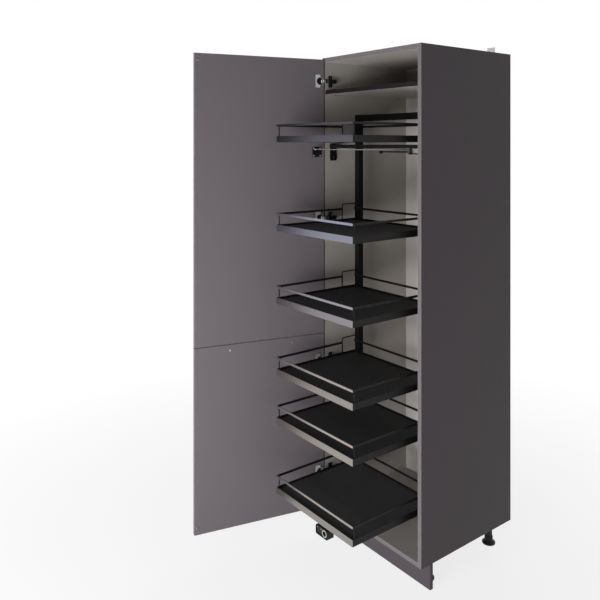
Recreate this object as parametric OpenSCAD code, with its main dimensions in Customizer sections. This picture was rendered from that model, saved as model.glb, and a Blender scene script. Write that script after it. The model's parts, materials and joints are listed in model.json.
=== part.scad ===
// Tall pull-out pantry cabinet, shown with its door open and its tray frame drawn out.
// X runs to the right, Y to the back and Z up.
// The origin is on the floor under the middle of the plinth board.

/* [Carcass] */
// Outside width of the cabinet
cabinet_w = 600; // [500:10:640]
// Depth of the side panels
cabinet_d = 565; // [545:5:640]
// Height of the side panels
cabinet_h = 2022; // [2010:2:2100]
// Thickness of the sides, top, bottom and shelf
board_t = 18; // [16:1:19]
// Thickness of the back panel
back_t = 8; // [6:1:10]
// Space left behind the back panel
back_void = 32; // [20:1:34]
// Depth of the grooves that hold the back panel
groove_depth = 7; // [5:1:8]
// Play of the back panel in its grooves, all round
groove_play = 0.2; // [0.1:0.1:0.4]
// Clear height between the shelf and the top panel
top_compartment_h = 128; // [100:2:134]
// Distance that the shelf stands back from the front edge
shelf_setback = 2; // [1:1:10]
// Play between the shelf and each side
shelf_play = 0.5; // [0.3:0.1:1]
// Diameter of the shelf pins
shelf_pin_d = 5; // [4:0.5:6]
// Depth of the holes for the shelf pins
shelf_pin_depth = 9; // [7:1:12]

/* [Plinth and legs] */
// Height of the carcass above the floor
plinth_h = 100; // [90:5:150]
// Thickness of the plinth board
plinth_t = 16; // [12:1:19]
// Distance from the carcass front to the plinth
plinth_setback = 50; // [40:5:60]
// Gap over the plinth board
plinth_gap = 2; // [1:1:4]
// Diameter of the leg tubes
leg_d = 30; // [26:1:34]
// Diameter of the feet
foot_d = 56; // [50:2:60]
// Height of the feet
foot_h = 12; // [10:1:16]
// Outside diameter of the leg sockets
socket_d = 44; // [42:1:48]
// Height of the leg sockets
socket_h = 34; // [28:1:38]
// Side of the square socket plates
socket_plate = 66; // [60:2:70]
// Distance from a leg's axis to the outside of the cabinet
leg_inset = 60; // [50:5:80]

/* [Door] */
// Thickness of the door leaves
front_t = 19; // [18:1:22]
// Width left free beside the door at each edge
door_side_gap = 1.5; // [1:0.5:2]
// Gap between the closed door and the carcass, kept by the buffers
door_gap = 3; // [3:0.5:4]
// Distance from the cabinet's top to the door's top
door_top_gap = 8; // [4:1:12]
// Height of the lower leaf
lower_leaf_h = 778; // [700:2:800]
// Gap between the two leaves
leaf_gap = 3; // [2:0.5:4]
// Radius of the leaves' upright edges
door_edge_r = 1; // [1:0.5:1.5]
// How far the door stands open, in degrees
door_open = 104; // [100:1:106]
// Distance from the door's hinge edge to the hinge axis
pin_from_edge = 7.8; // [7.4:0.1:8]
// Distance from the door's inner face to the hinge axis
pin_from_face = 8.8; // [8.6:0.1:8.9]

/* [Hinges] */
// Diameter of the bores for the hinge cups
cup_d = 35; // [34:0.5:36]
// Depth of the bores for the hinge cups
cup_depth = 13.2; // [12.8:0.1:13.6]
// Wood left between a cup's bore and the door's edge
cup_edge = 2.8; // [2.6:0.1:3]
// Wall of the hinge cups
cup_wall = 0.8; // [0.6:0.1:1]
// Height of the cups' screw flanges
flange_h = 58; // [54:1:62]
// Width of the cups' screw flanges
flange_w = 16; // [14:1:20]
// Thickness of the cups' screw flanges
flange_t = 1.2; // [1:0.1:1.5]
// Diameter of the hinge pins
hinge_pin_d = 2.6; // [2.2:0.1:2.8]
// Outside diameter of the hinge arms' eyes
hinge_eye_d = 6; // [5.4:0.1:6.4]
// Thickness of the straps that reach into the cups
strap_t = 2.2; // [1.8:0.1:2.4]
// Height of the straps that reach into the cups
strap_h = 12; // [8:1:13]
// Width of the hinge arms
hinge_arm_w = 17; // [14:1:18]
// Length of the hinge arms inside the carcass
hinge_arm_len = 62; // [54:2:70]
// Height of the lowest hinge above the door's bottom
hinge_low = 158; // [120:1:200]
// Distance of the middle hinges from the gap between the leaves
hinge_leaf_inset = 118; // [90:1:150]
// Step from there to the next hinge of the upper leaf
hinge_step = 400; // [300:5:500]
// Distance of the highest hinge from the door's top
hinge_top_inset = 98; // [80:1:130]

/* [Handle] */
// Spacing of the handle's screws
handle_pitch = 288; // [224:32:352]
// Length of the handle
handle_l = 340; // [300:10:400]
// Height of the handle's screwed strip
handle_h = 15; // [14:1:20]
// Thickness of the handle's metal
handle_t = 3; // [2:0.5:4]
// How far the grip stands out
handle_out = 27; // [24:1:34]
// Distance of the handle's screws below the leaf's top
handle_drop = 24; // [20:1:40]

/* [Trays] */
// Distance from the trays to each side panel
tray_side_gap = 42; // [38:1:50]
// Depth of the trays
tray_d = 442; // [420:2:446]
// Height of the trays' rims
rim_h = 26; // [24:1:32]
// Thickness of the rims' sheet
rim_t = 2; // [1.5:0.5:3]
// Width of the ledges that carry the boards
ledge_w = 14; // [12:1:20]
// Thickness of the tray boards
tray_board_t = 16; // [12:1:17]
// Play around the tray boards
tray_board_play = 0.5; // [0.3:0.1:1]
// Height of the lowest tray above the carcass bottom
lowest_tray = 165; // [160:1:180]
// Steps between the trays from the bottom up, which share the height between the lowest and the highest
tray_steps = [294, 203, 300, 306, 372]; // [180:1:400]
// Distance of the highest tray under the fixed shelf
top_tray_drop = 218; // [200:1:240]
// Height of the gallery's top above the tray's underside
gallery_h = 75; // [65:1:85]
// Height of the gallery's flat bar
bar_h = 9; // [7:0.5:12]
// Thickness of the gallery's flat bar
bar_t = 3; // [2.5:0.5:4]
// Diameter of the gallery's posts and hangers
wire_d = 5; // [4:0.5:6]
// Distance of the front posts from the tray's front
post_setback = 12; // [8:1:20]
// Distance from a hanger to the columns
hanger_reach = 77; // [60:1:90]
// Height of the hangers' tops above the gallery
hanger_rise = 20; // [14:1:28]
// Bend radius of the hangers
hanger_r = 8; // [6:1:12]

/* [Tray frame] */
// Side of the square columns
column_w = 28; // [20:1:30]
// Wall of the columns and crossbars
tube_t = 1.5; // [1.5:0.5:2.5]
// Height of the columns' tops above the highest tray
column_rise = 125; // [110:5:150]
// How far the trays stand out of the cabinet
drawn_out = 299; // [290:1:305]

/* [Folding arm] */
// Length of each arm between its pivots
arm_len = 168; // [160:1:170]
// Width of the arms
arm_w = 18; // [14:1:22]
// Thickness of the arms
arm_t = 3; // [2:0.5:3]
// Diameter of the arms' eyes
arm_eye_d = 22; // [20:1:26]
// Angle between the front arm and its lever for the link rod
lever_angle = 50; // [46:1:54]
// Diameter of the arms' pivot pins
arm_pin_d = 8; // [6:1:10]
// Distance of the fixed pivot from the right side panel
pivot_inset = 77; // [72:1:87]
// Distance of the fixed pivot behind the carcass front
pivot_y = 42; // [41:1:44]
// Gap between the levels of the linkage
level_gap = 1; // [0.6:0.1:1.2]
// Radial clearance of all running pins
pin_clearance = 0.05; // [0.03:0.01:0.08]

/* [Cross rail] */
// Distance of the rail's underside below the highest tray
rail_drop = 25; // [22:1:28]
// Height of the rail
rail_h = 15; // [12:1:16]
// Depth of the rail
rail_d = 36; // [34:1:40]
// Thickness of the rail's sheet
rail_t = 2.5; // [2:0.5:3]
// Distance of the rail behind the carcass front
rail_front = 26; // [26:1:28]
// Height of the rail's end brackets
rail_bracket_h = 72; // [60:2:80]
// Thickness of the rail's end brackets
rail_bracket_t = 3; // [2:0.5:4]

/* [Link rod] */
// Diameter of the link rod
rod_d = 5; // [4:0.5:5]
// Diameter of the rod's eyes
rod_eye_d = 14; // [12:1:16]
// Diameter of the pin on the door bracket
door_pin_d = 6; // [5:0.5:7]
// Distance of that pin from the door's hinge edge
door_pin_u = 50; // [48:1:52]
// Distance of that pin from the door's inner face
door_pin_v = 16; // [15:0.5:17]
// Side of the door bracket's plate
plate_w = 44; // [40:1:48]
// Thickness of the door bracket's metal
plate_t = 2.5; // [2:0.5:3]

/* [Runner] */
// Outside width of the fixed runner
runner_w = 62; // [58:1:70]
// Height of the fixed runner
runner_h = 40; // [38:1:44]
// Thickness of the fixed runner's sheet
runner_t = 2; // [1.5:0.5:2.5]
// Width of the runner's inward lips
runner_lip = 7; // [5:1:8]
// Width of the moving beam
beam_w = 24; // [20:1:26]
// Height of the moving beam
beam_h = 29; // [24:1:32]
// Height of the moving beam's top above the carcass bottom
beam_top = 112; // [110:1:116]
// Diameter of the rollers
roller_d = 30; // [28:1:32]
// Width of the rollers
roller_w = 7; // [5:0.5:8]
// Diameter of the rollers' axles
axle_d = 6; // [5:0.5:8]
// Width of the housing on the beam's front end
cap_w = 73; // [66:1:80]
// Depth of the housing on the beam's front end
cap_d = 34; // [30:1:40]
// Height of the housing on the beam's front end
cap_h = 37; // [34:1:44]
// Outside diameter of the ring in the housing's front
ring_d = 28; // [24:1:30]
// Distance of the housing behind the trays' front
cap_setback = 49; // [40:1:60]

/* [Fasteners] */
// Diameter of the wood screws' shanks
screw_d = 3.5; // [3:0.5:4]
// Diameter of the wood screws' heads
screw_head_d = 7.5; // [7:0.5:8]
// Height of the wood screws' heads
screw_head_h = 2; // [1.5:0.5:2.5]
// Length of the wood screws in the boards
screw_len = 12; // [8:1:14]
// Diameter of the frame screws
bolt_d = 5; // [4:0.5:6]
// Side length of the wall angles
angle_l = 40; // [30:2:50]
// Thickness of the wall angles
angle_t = 3; // [2:0.5:4]
// Hole in the wall angles
angle_hole_d = 7; // [6:0.5:8]
// Distance between the two wall angles
angle_pitch = 400; // [300:10:440]

/* [Hidden] */
$fn = 48;

// Carcass lines
front_y = -(plinth_setback + plinth_t / 2);
inner_w = cabinet_w - 2 * board_t;
inner_x = inner_w / 2;
carcass_top = plinth_h + cabinet_h;
back_front = cabinet_d - back_void - back_t;
shelf_top = carcass_top - board_t - top_compartment_h;
floor_z = plinth_h + board_t;
leg_x = cabinet_w / 2 - leg_inset;
leg_clearance = 1;
leg_ys = [plinth_setback + plinth_t + socket_plate / 2 + leg_clearance, back_front - socket_plate / 2];
shelf_pin_inset = 60;
shelf_pin_ys = [shelf_pin_inset, back_front - shelf_pin_inset];
shelf_pin_tab = 8;

// Door lines
door_w = cabinet_w - 2 * door_side_gap;
door_h = cabinet_h - door_top_gap;
upper_leaf_z = plinth_h + lower_leaf_h + leaf_gap;
upper_leaf_h = door_h - lower_leaf_h - leaf_gap;
hinge_x = -cabinet_w / 2 + door_side_gap + pin_from_edge;
hinge_y = -door_gap - pin_from_face;
cup_u = cup_edge + cup_d / 2;
handle_z = plinth_h + lower_leaf_h - handle_drop;
hinge_heights = [hinge_low, lower_leaf_h - hinge_leaf_inset, lower_leaf_h + leaf_gap + hinge_leaf_inset,
    lower_leaf_h + leaf_gap + hinge_leaf_inset + hinge_step, door_h - hinge_top_inset];
dowel_d = 8;
dowel_len = 50;
buffer_d = 9;
slip = 0.1;

// Tray frame lines
function sum_to(list, n) = n == 0 ? 0 : list[n - 1] + sum_to(list, n - 1);
tray_w = inner_w - 2 * tray_side_gap;
highest_tray = shelf_top - board_t - plinth_h - top_tray_drop;
step_share = (highest_tray - lowest_tray) / sum_to(tray_steps, len(tray_steps));
tray_heights = [for (n = [0 : len(tray_steps)]) lowest_tray + step_share * sum_to(tray_steps, n)];
column_top = highest_tray + column_rise;
tray_front = -drawn_out;
tray_rear = tray_front + tray_d;
column_x = tray_w / 2 - column_w;
column_z0 = plinth_h + beam_top;
column_h = column_top - beam_top;
wire_x = tray_w / 2 - rim_t - wire_d / 2 - slip;
hanger_y = tray_rear - hanger_reach;
tray_screw_z = rim_h / 2;

// Levels of the linkage, from the rail down
pivot_x = inner_x - pivot_inset;
rail_bottom = plinth_h + highest_tray - rail_drop;
rod_z = rail_bottom - level_gap - 2.5 - rod_d / 2;
rod_eye_h = rod_d - 1;
arm_front_z = rod_z - rod_d / 2 - 2 * level_gap - arm_t;
arm_rear_z = arm_front_z - level_gap - arm_t;
arm_bracket_t = 4;
arm_bracket_foot = 3;
arm_bracket_drop = 36;
arm_bolt_zs = [-12, -26];
arm_bracket_z = arm_rear_z - 2.5 - arm_bracket_t;

// Link rod: the lever's radius is the one at which both ends of the door's travel need the same rod
function turned(p, a) = [p[0] * cos(a) - p[1] * sin(a), p[0] * sin(a) + p[1] * cos(a)];
function dot(p, q) = p[0] * q[0] + p[1] * q[1];
function door_pin_at(opening) =
    [hinge_x, hinge_y] + turned([door_pin_u - pin_from_edge, pin_from_face + door_pin_v], -opening);
arm_pivot_at = [pivot_x, pivot_y];
lever_open = turned([-1, 0], -lever_angle);
lever_closed = turned(lever_open, -door_open);
reach_open = arm_pivot_at - door_pin_at(door_open);
reach_closed = arm_pivot_at - door_pin_at(0);
lever_r = (dot(reach_closed, reach_closed) - dot(reach_open, reach_open))
    / (2 * (dot(lever_open, reach_open) - dot(lever_closed, reach_closed)));
rod_start = door_pin_at(door_open);
rod_end = arm_pivot_at + lever_r * lever_open;
rod_len = norm(rod_end - rod_start);
rod_angle = atan2(rod_end[1] - rod_start[1], rod_end[0] - rod_start[0]);

// Runner lines
runner_front = 8;
runner_len = back_front - runner_front - 12;
roller_z = floor_z + runner_t + roller_d / 2 + 0.3;
roller_ys = [38, 150];
carriage_front = roller_ys[0] - roller_d / 2 - 8;
carriage_bottom = roller_z - 8;
cap_front = tray_front + cap_setback;
cap_rear = cap_front + cap_d;
cap_bottom = column_z0 - cap_h;
beam_front = cap_rear - 10;
beam_rear = tray_rear + column_w + 8;
beam_bottom = column_z0 - beam_h;

module cabinet() translate([0, front_y, 0]) children();

// Places its children on the open door: X from the hinge edge, Y from the inner face into the cabinet
module on_door() cabinet() translate([hinge_x, hinge_y, 0]) rotate([0, 0, -door_open])
    translate([-pin_from_edge, pin_from_face, 0]) children();

module both_sides() { children(); mirror([1, 0, 0]) children(); }

// Box given by its lowest and highest corners
module block(low, high) translate(low) cube(high - low);

function arc_points(c, r, a0, n = 3) = [for (i = [0 : n])
    c + r * [cos(a0 + 90 * i / n), sin(a0 + 90 * i / n)]];
function rounded_outline(low, high, r) = concat(
    arc_points([high[0] - r, high[1] - r], r, 0), arc_points([low[0] + r, high[1] - r], r, 90),
    arc_points([low[0] + r, low[1] + r], r, 180), arc_points([high[0] - r, low[1] + r], r, 270));

module rounded_block(low, high, r) translate([0, 0, low[2]]) linear_extrude(high[2] - low[2])
    polygon(rounded_outline([low[0], low[1]], [high[0], high[1]], r));

// Square tube along Z, hollow from end to end
module tube_z(low, size, h) translate(low) difference() {
    linear_extrude(h) polygon(rounded_outline([0, 0], [size, size], 2));
    translate([tube_t, tube_t, -1]) cube([size - 2 * tube_t, size - 2 * tube_t, h + 2]);
}

// Wood screw whose head stands on z = 0 and whose shank points down
module wood_screw() {
    translate([0, 0, -screw_len]) cylinder(d = screw_d, h = screw_len + screw_head_h / 2);
    cylinder(d1 = screw_head_d, d2 = screw_head_d * 0.6, h = screw_head_h);
}

module screw_hole(extra = 0) translate([0, 0, -screw_len - slip])
    cylinder(d = screw_d + 2 * slip, h = screw_len + 2 * slip + extra);

// Where the carcass screws sit: point, then the direction that the head faces
hinge_plate_t = 2.5;
hinge_plate_y = 30;
hinge_plate_w = 20;
hinge_plate_h = 52;
hinge_screw_pitch = 32;
hinge_plate_screws = [for (z = hinge_heights) for (s = [-1, 1])
    [-inner_x + hinge_plate_t, hinge_plate_y, plinth_h + z + s * hinge_screw_pitch / 2]];
rail_screw_y = rail_front + rail_d / 2 + 4;
rail_screw_step = 31;
rail_screw_zs = [rail_bottom - 12 - rail_screw_step, rail_bottom - 12];
runner_screw_ys = [60, 250, 440];
angle_screw_y = cabinet_d - angle_l / 2 - angle_t;

module left_wall_screws(hole = false) {
    for (p = hinge_plate_screws) translate(p) rotate([0, 90, 0]) if (hole) screw_hole(); else wood_screw();
    for (z = rail_screw_zs) translate([-inner_x + rail_bracket_t, rail_screw_y, z]) rotate([0, 90, 0])
        if (hole) screw_hole(); else wood_screw();
}

module right_wall_screws(hole = false) mirror([1, 0, 0])
    for (z = rail_screw_zs) translate([-inner_x + rail_bracket_t, rail_screw_y, z]) rotate([0, 90, 0])
        if (hole) screw_hole(); else wood_screw();

module runner_screws(hole = false) for (y = runner_screw_ys) translate([0, y, floor_z + runner_t])
    if (hole) screw_hole(); else wood_screw();

module angle_screws(hole = false) for (x = [-1, 1] * angle_pitch / 2)
    translate([x, angle_screw_y, carcass_top + angle_t])
    if (hole) screw_hole(); else wood_screw();

module shelf_pin_holes() for (y = shelf_pin_ys)
    translate([-inner_x - shelf_pin_depth, y, shelf_top - board_t - shelf_pin_d / 2])
    rotate([0, 90, 0]) cylinder(d = shelf_pin_d + 2 * slip, h = shelf_pin_depth + 1);

module back_groove() block(
    [-inner_x - groove_depth - groove_play, back_front - groove_play, plinth_h - 1],
    [-inner_x + 1, back_front + back_t + groove_play, carcass_top + 1]);

// The left side panel with what both sides share; the right one is its mirror image
module side_board() difference() {
    block([-cabinet_w / 2, 0, plinth_h], [-inner_x, cabinet_d, carcass_top]);
    back_groove();
    shelf_pin_holes();
}

module side_left() color([0.35, 0.33, 0.35]) cabinet() difference() {
    side_board();
    left_wall_screws(true);
}

module side_right() color([0.35, 0.33, 0.35]) cabinet() difference() {
    mirror([1, 0, 0]) side_board();
    right_wall_screws(true);
}

module top_panel() color([0.7, 0.69, 0.67]) cabinet() difference() {
    block([-inner_x, 0, carcass_top - board_t], [inner_x, cabinet_d, carcass_top]);
    block([-inner_x - 1, back_front - groove_play, carcass_top - board_t - 1],
        [inner_x + 1, back_front + back_t + groove_play, carcass_top - board_t + groove_depth + groove_play]);
    angle_screws(true);
}

module bottom_panel() color([0.7, 0.69, 0.67]) cabinet() difference() {
    block([-inner_x, 0, plinth_h], [inner_x, cabinet_d, floor_z]);
    block([-inner_x - 1, back_front - groove_play, floor_z - groove_depth - groove_play],
        [inner_x + 1, back_front + back_t + groove_play, floor_z + 1]);
    runner_screws(true);
}

module back_panel() color([0.72, 0.71, 0.69]) cabinet() block(
    [-inner_x - groove_depth, back_front, floor_z - groove_depth],
    [inner_x + groove_depth, back_front + back_t, carcass_top - board_t + groove_depth]);

module fixed_shelf() color([0.7, 0.69, 0.67]) cabinet() block(
    [-inner_x + shelf_play, shelf_setback, shelf_top - board_t],
    [inner_x - shelf_play, back_front - shelf_play, shelf_top]);

module shelf_pins() color("silver") cabinet() both_sides() for (y = shelf_pin_ys)
    translate([-inner_x, y, shelf_top - board_t - shelf_pin_d / 2]) {
        translate([-shelf_pin_depth + slip, 0, 0]) rotate([0, 90, 0])
            cylinder(d = shelf_pin_d, h = shelf_pin_depth + shelf_pin_tab - slip);
        translate([0, -shelf_pin_d, shelf_pin_d / 2 - 1.5]) cube([shelf_pin_tab, 2 * shelf_pin_d, 1.5]);
    }

module plinth() color([0.33, 0.31, 0.33]) cabinet() difference() {
    block([-cabinet_w / 2, plinth_setback, 0],
        [cabinet_w / 2, plinth_setback + plinth_t, plinth_h - plinth_gap]);
    for (x = [-leg_x, leg_x]) translate([x, plinth_setback + plinth_t, clip_z]) clip_slot();
}

clip_z = 45;
clip_h = 20;
clip_foot_w = 34;

// T-slot in the back of the plinth board that takes a clip's foot
module clip_slot() translate([-clip_foot_w / 2 - slip, -5 - slip, -clip_h / 2 - slip])
    cube([clip_foot_w + 2 * slip, 5 + 2 * slip, clip_h + 2 * slip]);

module plinth_clips() color([0.12, 0.12, 0.12]) cabinet() for (x = [-leg_x, leg_x])
    translate([x, leg_ys[0], clip_z]) difference() {
        union() {
            translate([0, 0, -clip_h / 2]) cylinder(d = leg_d + 7, h = clip_h);
            block([-9, plinth_setback + plinth_t - leg_ys[0] - 1, -clip_h / 2], [9, -leg_d / 2, clip_h / 2]);
            block([-clip_foot_w / 2, plinth_setback + plinth_t - leg_ys[0] - 5, -clip_h / 2],
                [clip_foot_w / 2, plinth_setback + plinth_t - leg_ys[0] - slip, clip_h / 2]);
        }
        translate([0, 0, -clip_h]) cylinder(d = leg_d + 0.4, h = 2 * clip_h);
        block([-leg_d * 0.42, 0, -clip_h], [leg_d * 0.42, leg_d, clip_h]);
    }

module leg_sockets() color([0.1, 0.1, 0.1]) cabinet() for (x = [-leg_x, leg_x], y = leg_ys)
    translate([x, y, plinth_h]) difference() {
        union() {
            translate([-socket_plate / 2, -socket_plate / 2, -4]) cube([socket_plate, socket_plate, 4]);
            translate([0, 0, -socket_h]) cylinder(d = socket_d, h = socket_h);
            for (a = [0, 90]) rotate([0, 0, a]) translate([-socket_plate / 2 + 3, -1.5, -14])
                cube([socket_plate - 6, 3, 12]);
        }
        translate([0, 0, -socket_h - 1]) cylinder(d = leg_d + 0.4, h = socket_h - 5);
        for (a = [45 : 90 : 315]) rotate([0, 0, a]) translate([socket_plate * 0.6, 0, -5])
            cylinder(d = 5, h = 6);
    }

module leg_feet() color([0.1, 0.1, 0.1]) cabinet() for (x = [-leg_x, leg_x], y = leg_ys)
    translate([x, y, 0]) {
        cylinder(d = foot_d, h = foot_h / 2);
        translate([0, 0, foot_h / 2]) cylinder(d1 = foot_d, d2 = leg_d + 4, h = foot_h / 2);
        translate([0, 0, foot_h]) cylinder(d = leg_d, h = plinth_h - 8 - foot_h);
        for (z = [foot_h + 14, foot_h + 18]) translate([0, 0, z]) cylinder(d = leg_d + 1.5, h = 2);
    }

// Hinges: the arm and its plate belong to the carcass, the cup and pin to the door
module hinge_plates() color([0.1, 0.1, 0.1]) cabinet() difference() {
    for (z = hinge_heights) translate([-inner_x, 0, plinth_h + z]) {
        block([0, hinge_plate_y - hinge_plate_w / 2, -hinge_plate_h / 2],
            [hinge_plate_t, hinge_plate_y + hinge_plate_w / 2, hinge_plate_h / 2]);
        block([0, 8, -hinge_arm_w / 2 + 2], [hinge_plate_t, hinge_arm_len + 4, hinge_arm_w / 2 - 2]);
        block([0, 14, -hinge_arm_w / 2 + 4], [8, hinge_arm_len, hinge_arm_w / 2 - 4]);
    }
    left_wall_screws(true);
    for (p = hinge_plate_screws) translate(p - [hinge_plate_t + 1, 0, 0]) rotate([0, 90, 0])
        cylinder(d = screw_d + 2 * slip, h = hinge_plate_t + 2);
}

strap_x = 16;
hinge_arm_h = 13;
hinge_nose = 7;
hinge_arm_wall = 3;
hinge_screw_bore = 5;

// Hinge arms: a pressed channel with a sloping nose and tail, and the strap that reaches into the cup
module hinge_arms() color([0.16, 0.16, 0.17]) cabinet() for (z = hinge_heights)
    translate([hinge_x, hinge_y, plinth_h + z]) difference() {
        foot_x = -inner_x - hinge_x + hinge_plate_t + slip;
        nose_y = 5 - hinge_y;
        tail_y = hinge_arm_len - hinge_y;
        union() {
            translate([0, 0, -strap_h / 2]) cylinder(d = hinge_eye_d, h = strap_h);
            block([0, -strap_t / 2, -strap_h / 2], [strap_x + strap_t / 2, strap_t / 2, strap_h / 2]);
            block([strap_x - strap_t / 2, 0, -strap_h / 2], [strap_x + strap_t / 2, nose_y + 1, strap_h / 2]);
            difference() {
                translate([0, 0, -hinge_arm_w / 2]) linear_extrude(hinge_arm_w) polygon([
                    [foot_x, nose_y], [strap_x + strap_t / 2, nose_y],
                    [foot_x + hinge_arm_h, nose_y + hinge_nose],
                    [foot_x + hinge_arm_h, tail_y - hinge_nose], [foot_x + hinge_arm_h / 2, tail_y],
                    [foot_x, tail_y]]);
                block([foot_x - 1, nose_y + hinge_nose, -hinge_arm_w / 2 + hinge_arm_wall],
                    [foot_x + 6, tail_y + 1, hinge_arm_w / 2 - hinge_arm_wall]);
                block([foot_x - 1, hinge_plate_y - hinge_y - hinge_screw_bore - 1, -hinge_arm_w],
                    [foot_x + hinge_screw_bore - 1, hinge_plate_y - hinge_y + hinge_screw_bore + 1,
                        hinge_arm_w]);
            }
        }
        translate([0, 0, -strap_h]) cylinder(d = hinge_pin_d + 2 * pin_clearance, h = 2 * strap_h);
        for (y = [nose_y + hinge_nose + 4, tail_y - hinge_nose - 6])
            translate([foot_x + hinge_arm_h - 2, y, 0])
            rotate([0, 90, 0]) cylinder(d = hinge_screw_bore, h = 3);
    }

// Inverted channel that carries the folding arm's fixed pivot
module cross_rail() color([0.1, 0.1, 0.1]) cabinet() difference() {
    block([-inner_x + rail_bracket_t, rail_front, rail_bottom],
        [inner_x - rail_bracket_t, rail_front + rail_d, rail_bottom + rail_h]);
    block([-inner_x, rail_front + rail_t, rail_bottom + rail_t],
        [inner_x, rail_front + rail_d - rail_t, rail_bottom + rail_h + 1]);
    translate([pivot_x, pivot_y, rail_bottom - 1]) cylinder(d = arm_pin_d, h = rail_t + 2);
}

module rail_brackets() color([0.1, 0.1, 0.1]) cabinet() both_sides() difference() {
    union() {
        block([-inner_x, rail_front + 4, rail_bottom + rail_h - rail_bracket_h],
            [-inner_x + rail_bracket_t, rail_front + rail_d + 4, rail_bottom + rail_h + 4]);
        block([-inner_x + rail_bracket_t, rail_front + rail_t + slip, rail_bottom + rail_t],
            [-inner_x + 30, rail_front + rail_d - rail_t - slip, rail_bottom + rail_t + 3]);
    }
    for (z = rail_screw_zs) translate([-inner_x - 1, rail_screw_y, z]) rotate([0, 90, 0])
        cylinder(d = screw_d + 2 * slip, h = rail_bracket_t + 2);
}

pivot_neck_d = 6;

// Rivet that hangs the front arm from the rail, slender where the link rod passes it
module arm_pivot() color("silver") cabinet() translate([pivot_x, pivot_y, 0]) {
    translate([0, 0, rail_bottom]) cylinder(d = arm_pin_d - 2 * slip, h = rail_t);
    translate([0, 0, rail_bottom + rail_t]) cylinder(d = arm_pin_d + 5, h = 2);
    translate([0, 0, rail_bottom - 2]) cylinder(d = arm_pin_d + 5, h = 2);
    translate([0, 0, arm_front_z + arm_t]) cylinder(d = pivot_neck_d, h = rail_bottom - arm_front_z - arm_t);
    translate([0, 0, arm_front_z + arm_t + 0.3]) cylinder(d = arm_pin_d + 3, h = 0.6);
    translate([0, 0, arm_front_z - 0.5]) cylinder(d = arm_pin_d, h = arm_t + 0.6);
}

module arm_outline(len) difference() {
    union() {
        circle(d = arm_eye_d);
        translate([-len, 0]) circle(d = arm_eye_d);
        translate([-len, -arm_w / 2]) square([len, arm_w]);
    }
    circle(d = arm_pin_d + 2 * pin_clearance);
    translate([-len, 0]) circle(d = arm_pin_d + 2 * pin_clearance);
}

lever_w = 14;

module arm_front() color([0.12, 0.12, 0.12]) cabinet() translate([pivot_x, pivot_y, arm_front_z])
    difference() {
        union() {
            linear_extrude(arm_t) arm_outline(arm_len);
            rotate([0, 0, 180 - lever_angle]) linear_extrude(arm_t) {
                translate([arm_eye_d / 2 - 3, -lever_w / 2]) square([lever_r - arm_eye_d / 2 + 3, lever_w]);
                translate([lever_r, 0]) circle(d = lever_w);
            }
        }
        rotate([0, 0, 180 - lever_angle]) translate([lever_r, 0, -1]) cylinder(d = door_pin_d, h = arm_t + 2);
    }

module elbow_pin() color("silver") cabinet() translate([pivot_x - arm_len, pivot_y, 0]) {
    translate([0, 0, arm_rear_z - 0.4]) cylinder(d = arm_pin_d, h = arm_front_z + arm_t - arm_rear_z + 0.4);
    translate([0, 0, arm_rear_z - 5.4]) cylinder(d1 = arm_pin_d + 2, d2 = arm_pin_d + 8, h = 5);
}

module arm_rear() color([0.12, 0.12, 0.12]) cabinet() translate([pivot_x, pivot_y, arm_rear_z])
    linear_extrude(arm_t) arm_outline(arm_len);

// Flat bracket from the right column to the folding arm's moving pivot
module arm_bracket() color([0.1, 0.1, 0.1]) cabinet() {
    translate([pivot_x, pivot_y, arm_bracket_z]) {
        cylinder(d = arm_eye_d, h = arm_bracket_t);
        translate([-arm_w / 2, 0, 0]) cube([arm_w, tray_rear - pivot_y - 16, arm_bracket_t]);
        translate([0, 0, arm_bracket_t])
            cylinder(d = arm_pin_d + 6, h = arm_rear_z - arm_bracket_z - arm_bracket_t - 0.3);
        cylinder(d = arm_pin_d, h = arm_rear_z + arm_t - arm_bracket_z);
    }
    block([pivot_x - arm_w / 2, tray_rear - 20, arm_bracket_z],
        [column_x + column_w, tray_rear, arm_bracket_z + arm_bracket_t]);
    difference() {
        block([column_x, tray_rear - arm_bracket_foot, arm_bracket_z - arm_bracket_drop],
            [column_x + column_w, tray_rear, arm_bracket_z + arm_bracket_t]);
        for (z = arm_bolt_zs) translate([column_x + column_w / 2, tray_rear - arm_bracket_foot - 1,
            arm_bracket_z + z])
            rotate([-90, 0, 0]) cylinder(d = bolt_d + 2 * slip, h = arm_bracket_foot + 2);
    }
}

leaf_dowel_us = [60, door_w - 60];
cup_screw_out = 22.5;
bracket_z = rod_z;
bracket_plate_u = 14;
bracket_pin_drop = 10;
bracket_plate_z0 = bracket_z - plate_w + bracket_pin_drop;
bracket_screw_inset = 6;
cup_screws = [for (z = hinge_heights) for (s = [-1, 1])
    [cup_u + 2, flange_t, plinth_h + z + s * cup_screw_out]];
bracket_screws = [for (u = [bracket_screw_inset, plate_w - bracket_screw_inset])
    for (z = [bracket_screw_inset, plate_w - bracket_screw_inset])
        [bracket_plate_u + u, plate_t, bracket_plate_z0 + z]];
door_screw_points = concat(cup_screws, bracket_screws);

// Board of the door, drawn closed in the door's own frame
module leaf(z, h) difference() {
    rounded_block([0, -front_t, z], [door_w, 0, z + h], door_edge_r);
    for (hz = hinge_heights) if (hz + plinth_h > z && hz + plinth_h < z + h)
        translate([cup_u, 0, plinth_h + hz])
        rotate([90, 0, 0]) translate([0, 0, -1]) cylinder(d = cup_d, h = cup_depth + 1);
    for (p = door_screw_points) if (p[2] > z && p[2] < z + h) translate(p) rotate([-90, 0, 0]) screw_hole();
    for (u = leaf_dowel_us) translate([u, -front_t / 2, upper_leaf_z - leaf_gap / 2 - dowel_len / 2 - 1])
        cylinder(d = dowel_d + 2 * pin_clearance, h = dowel_len + 2);
}

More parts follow.
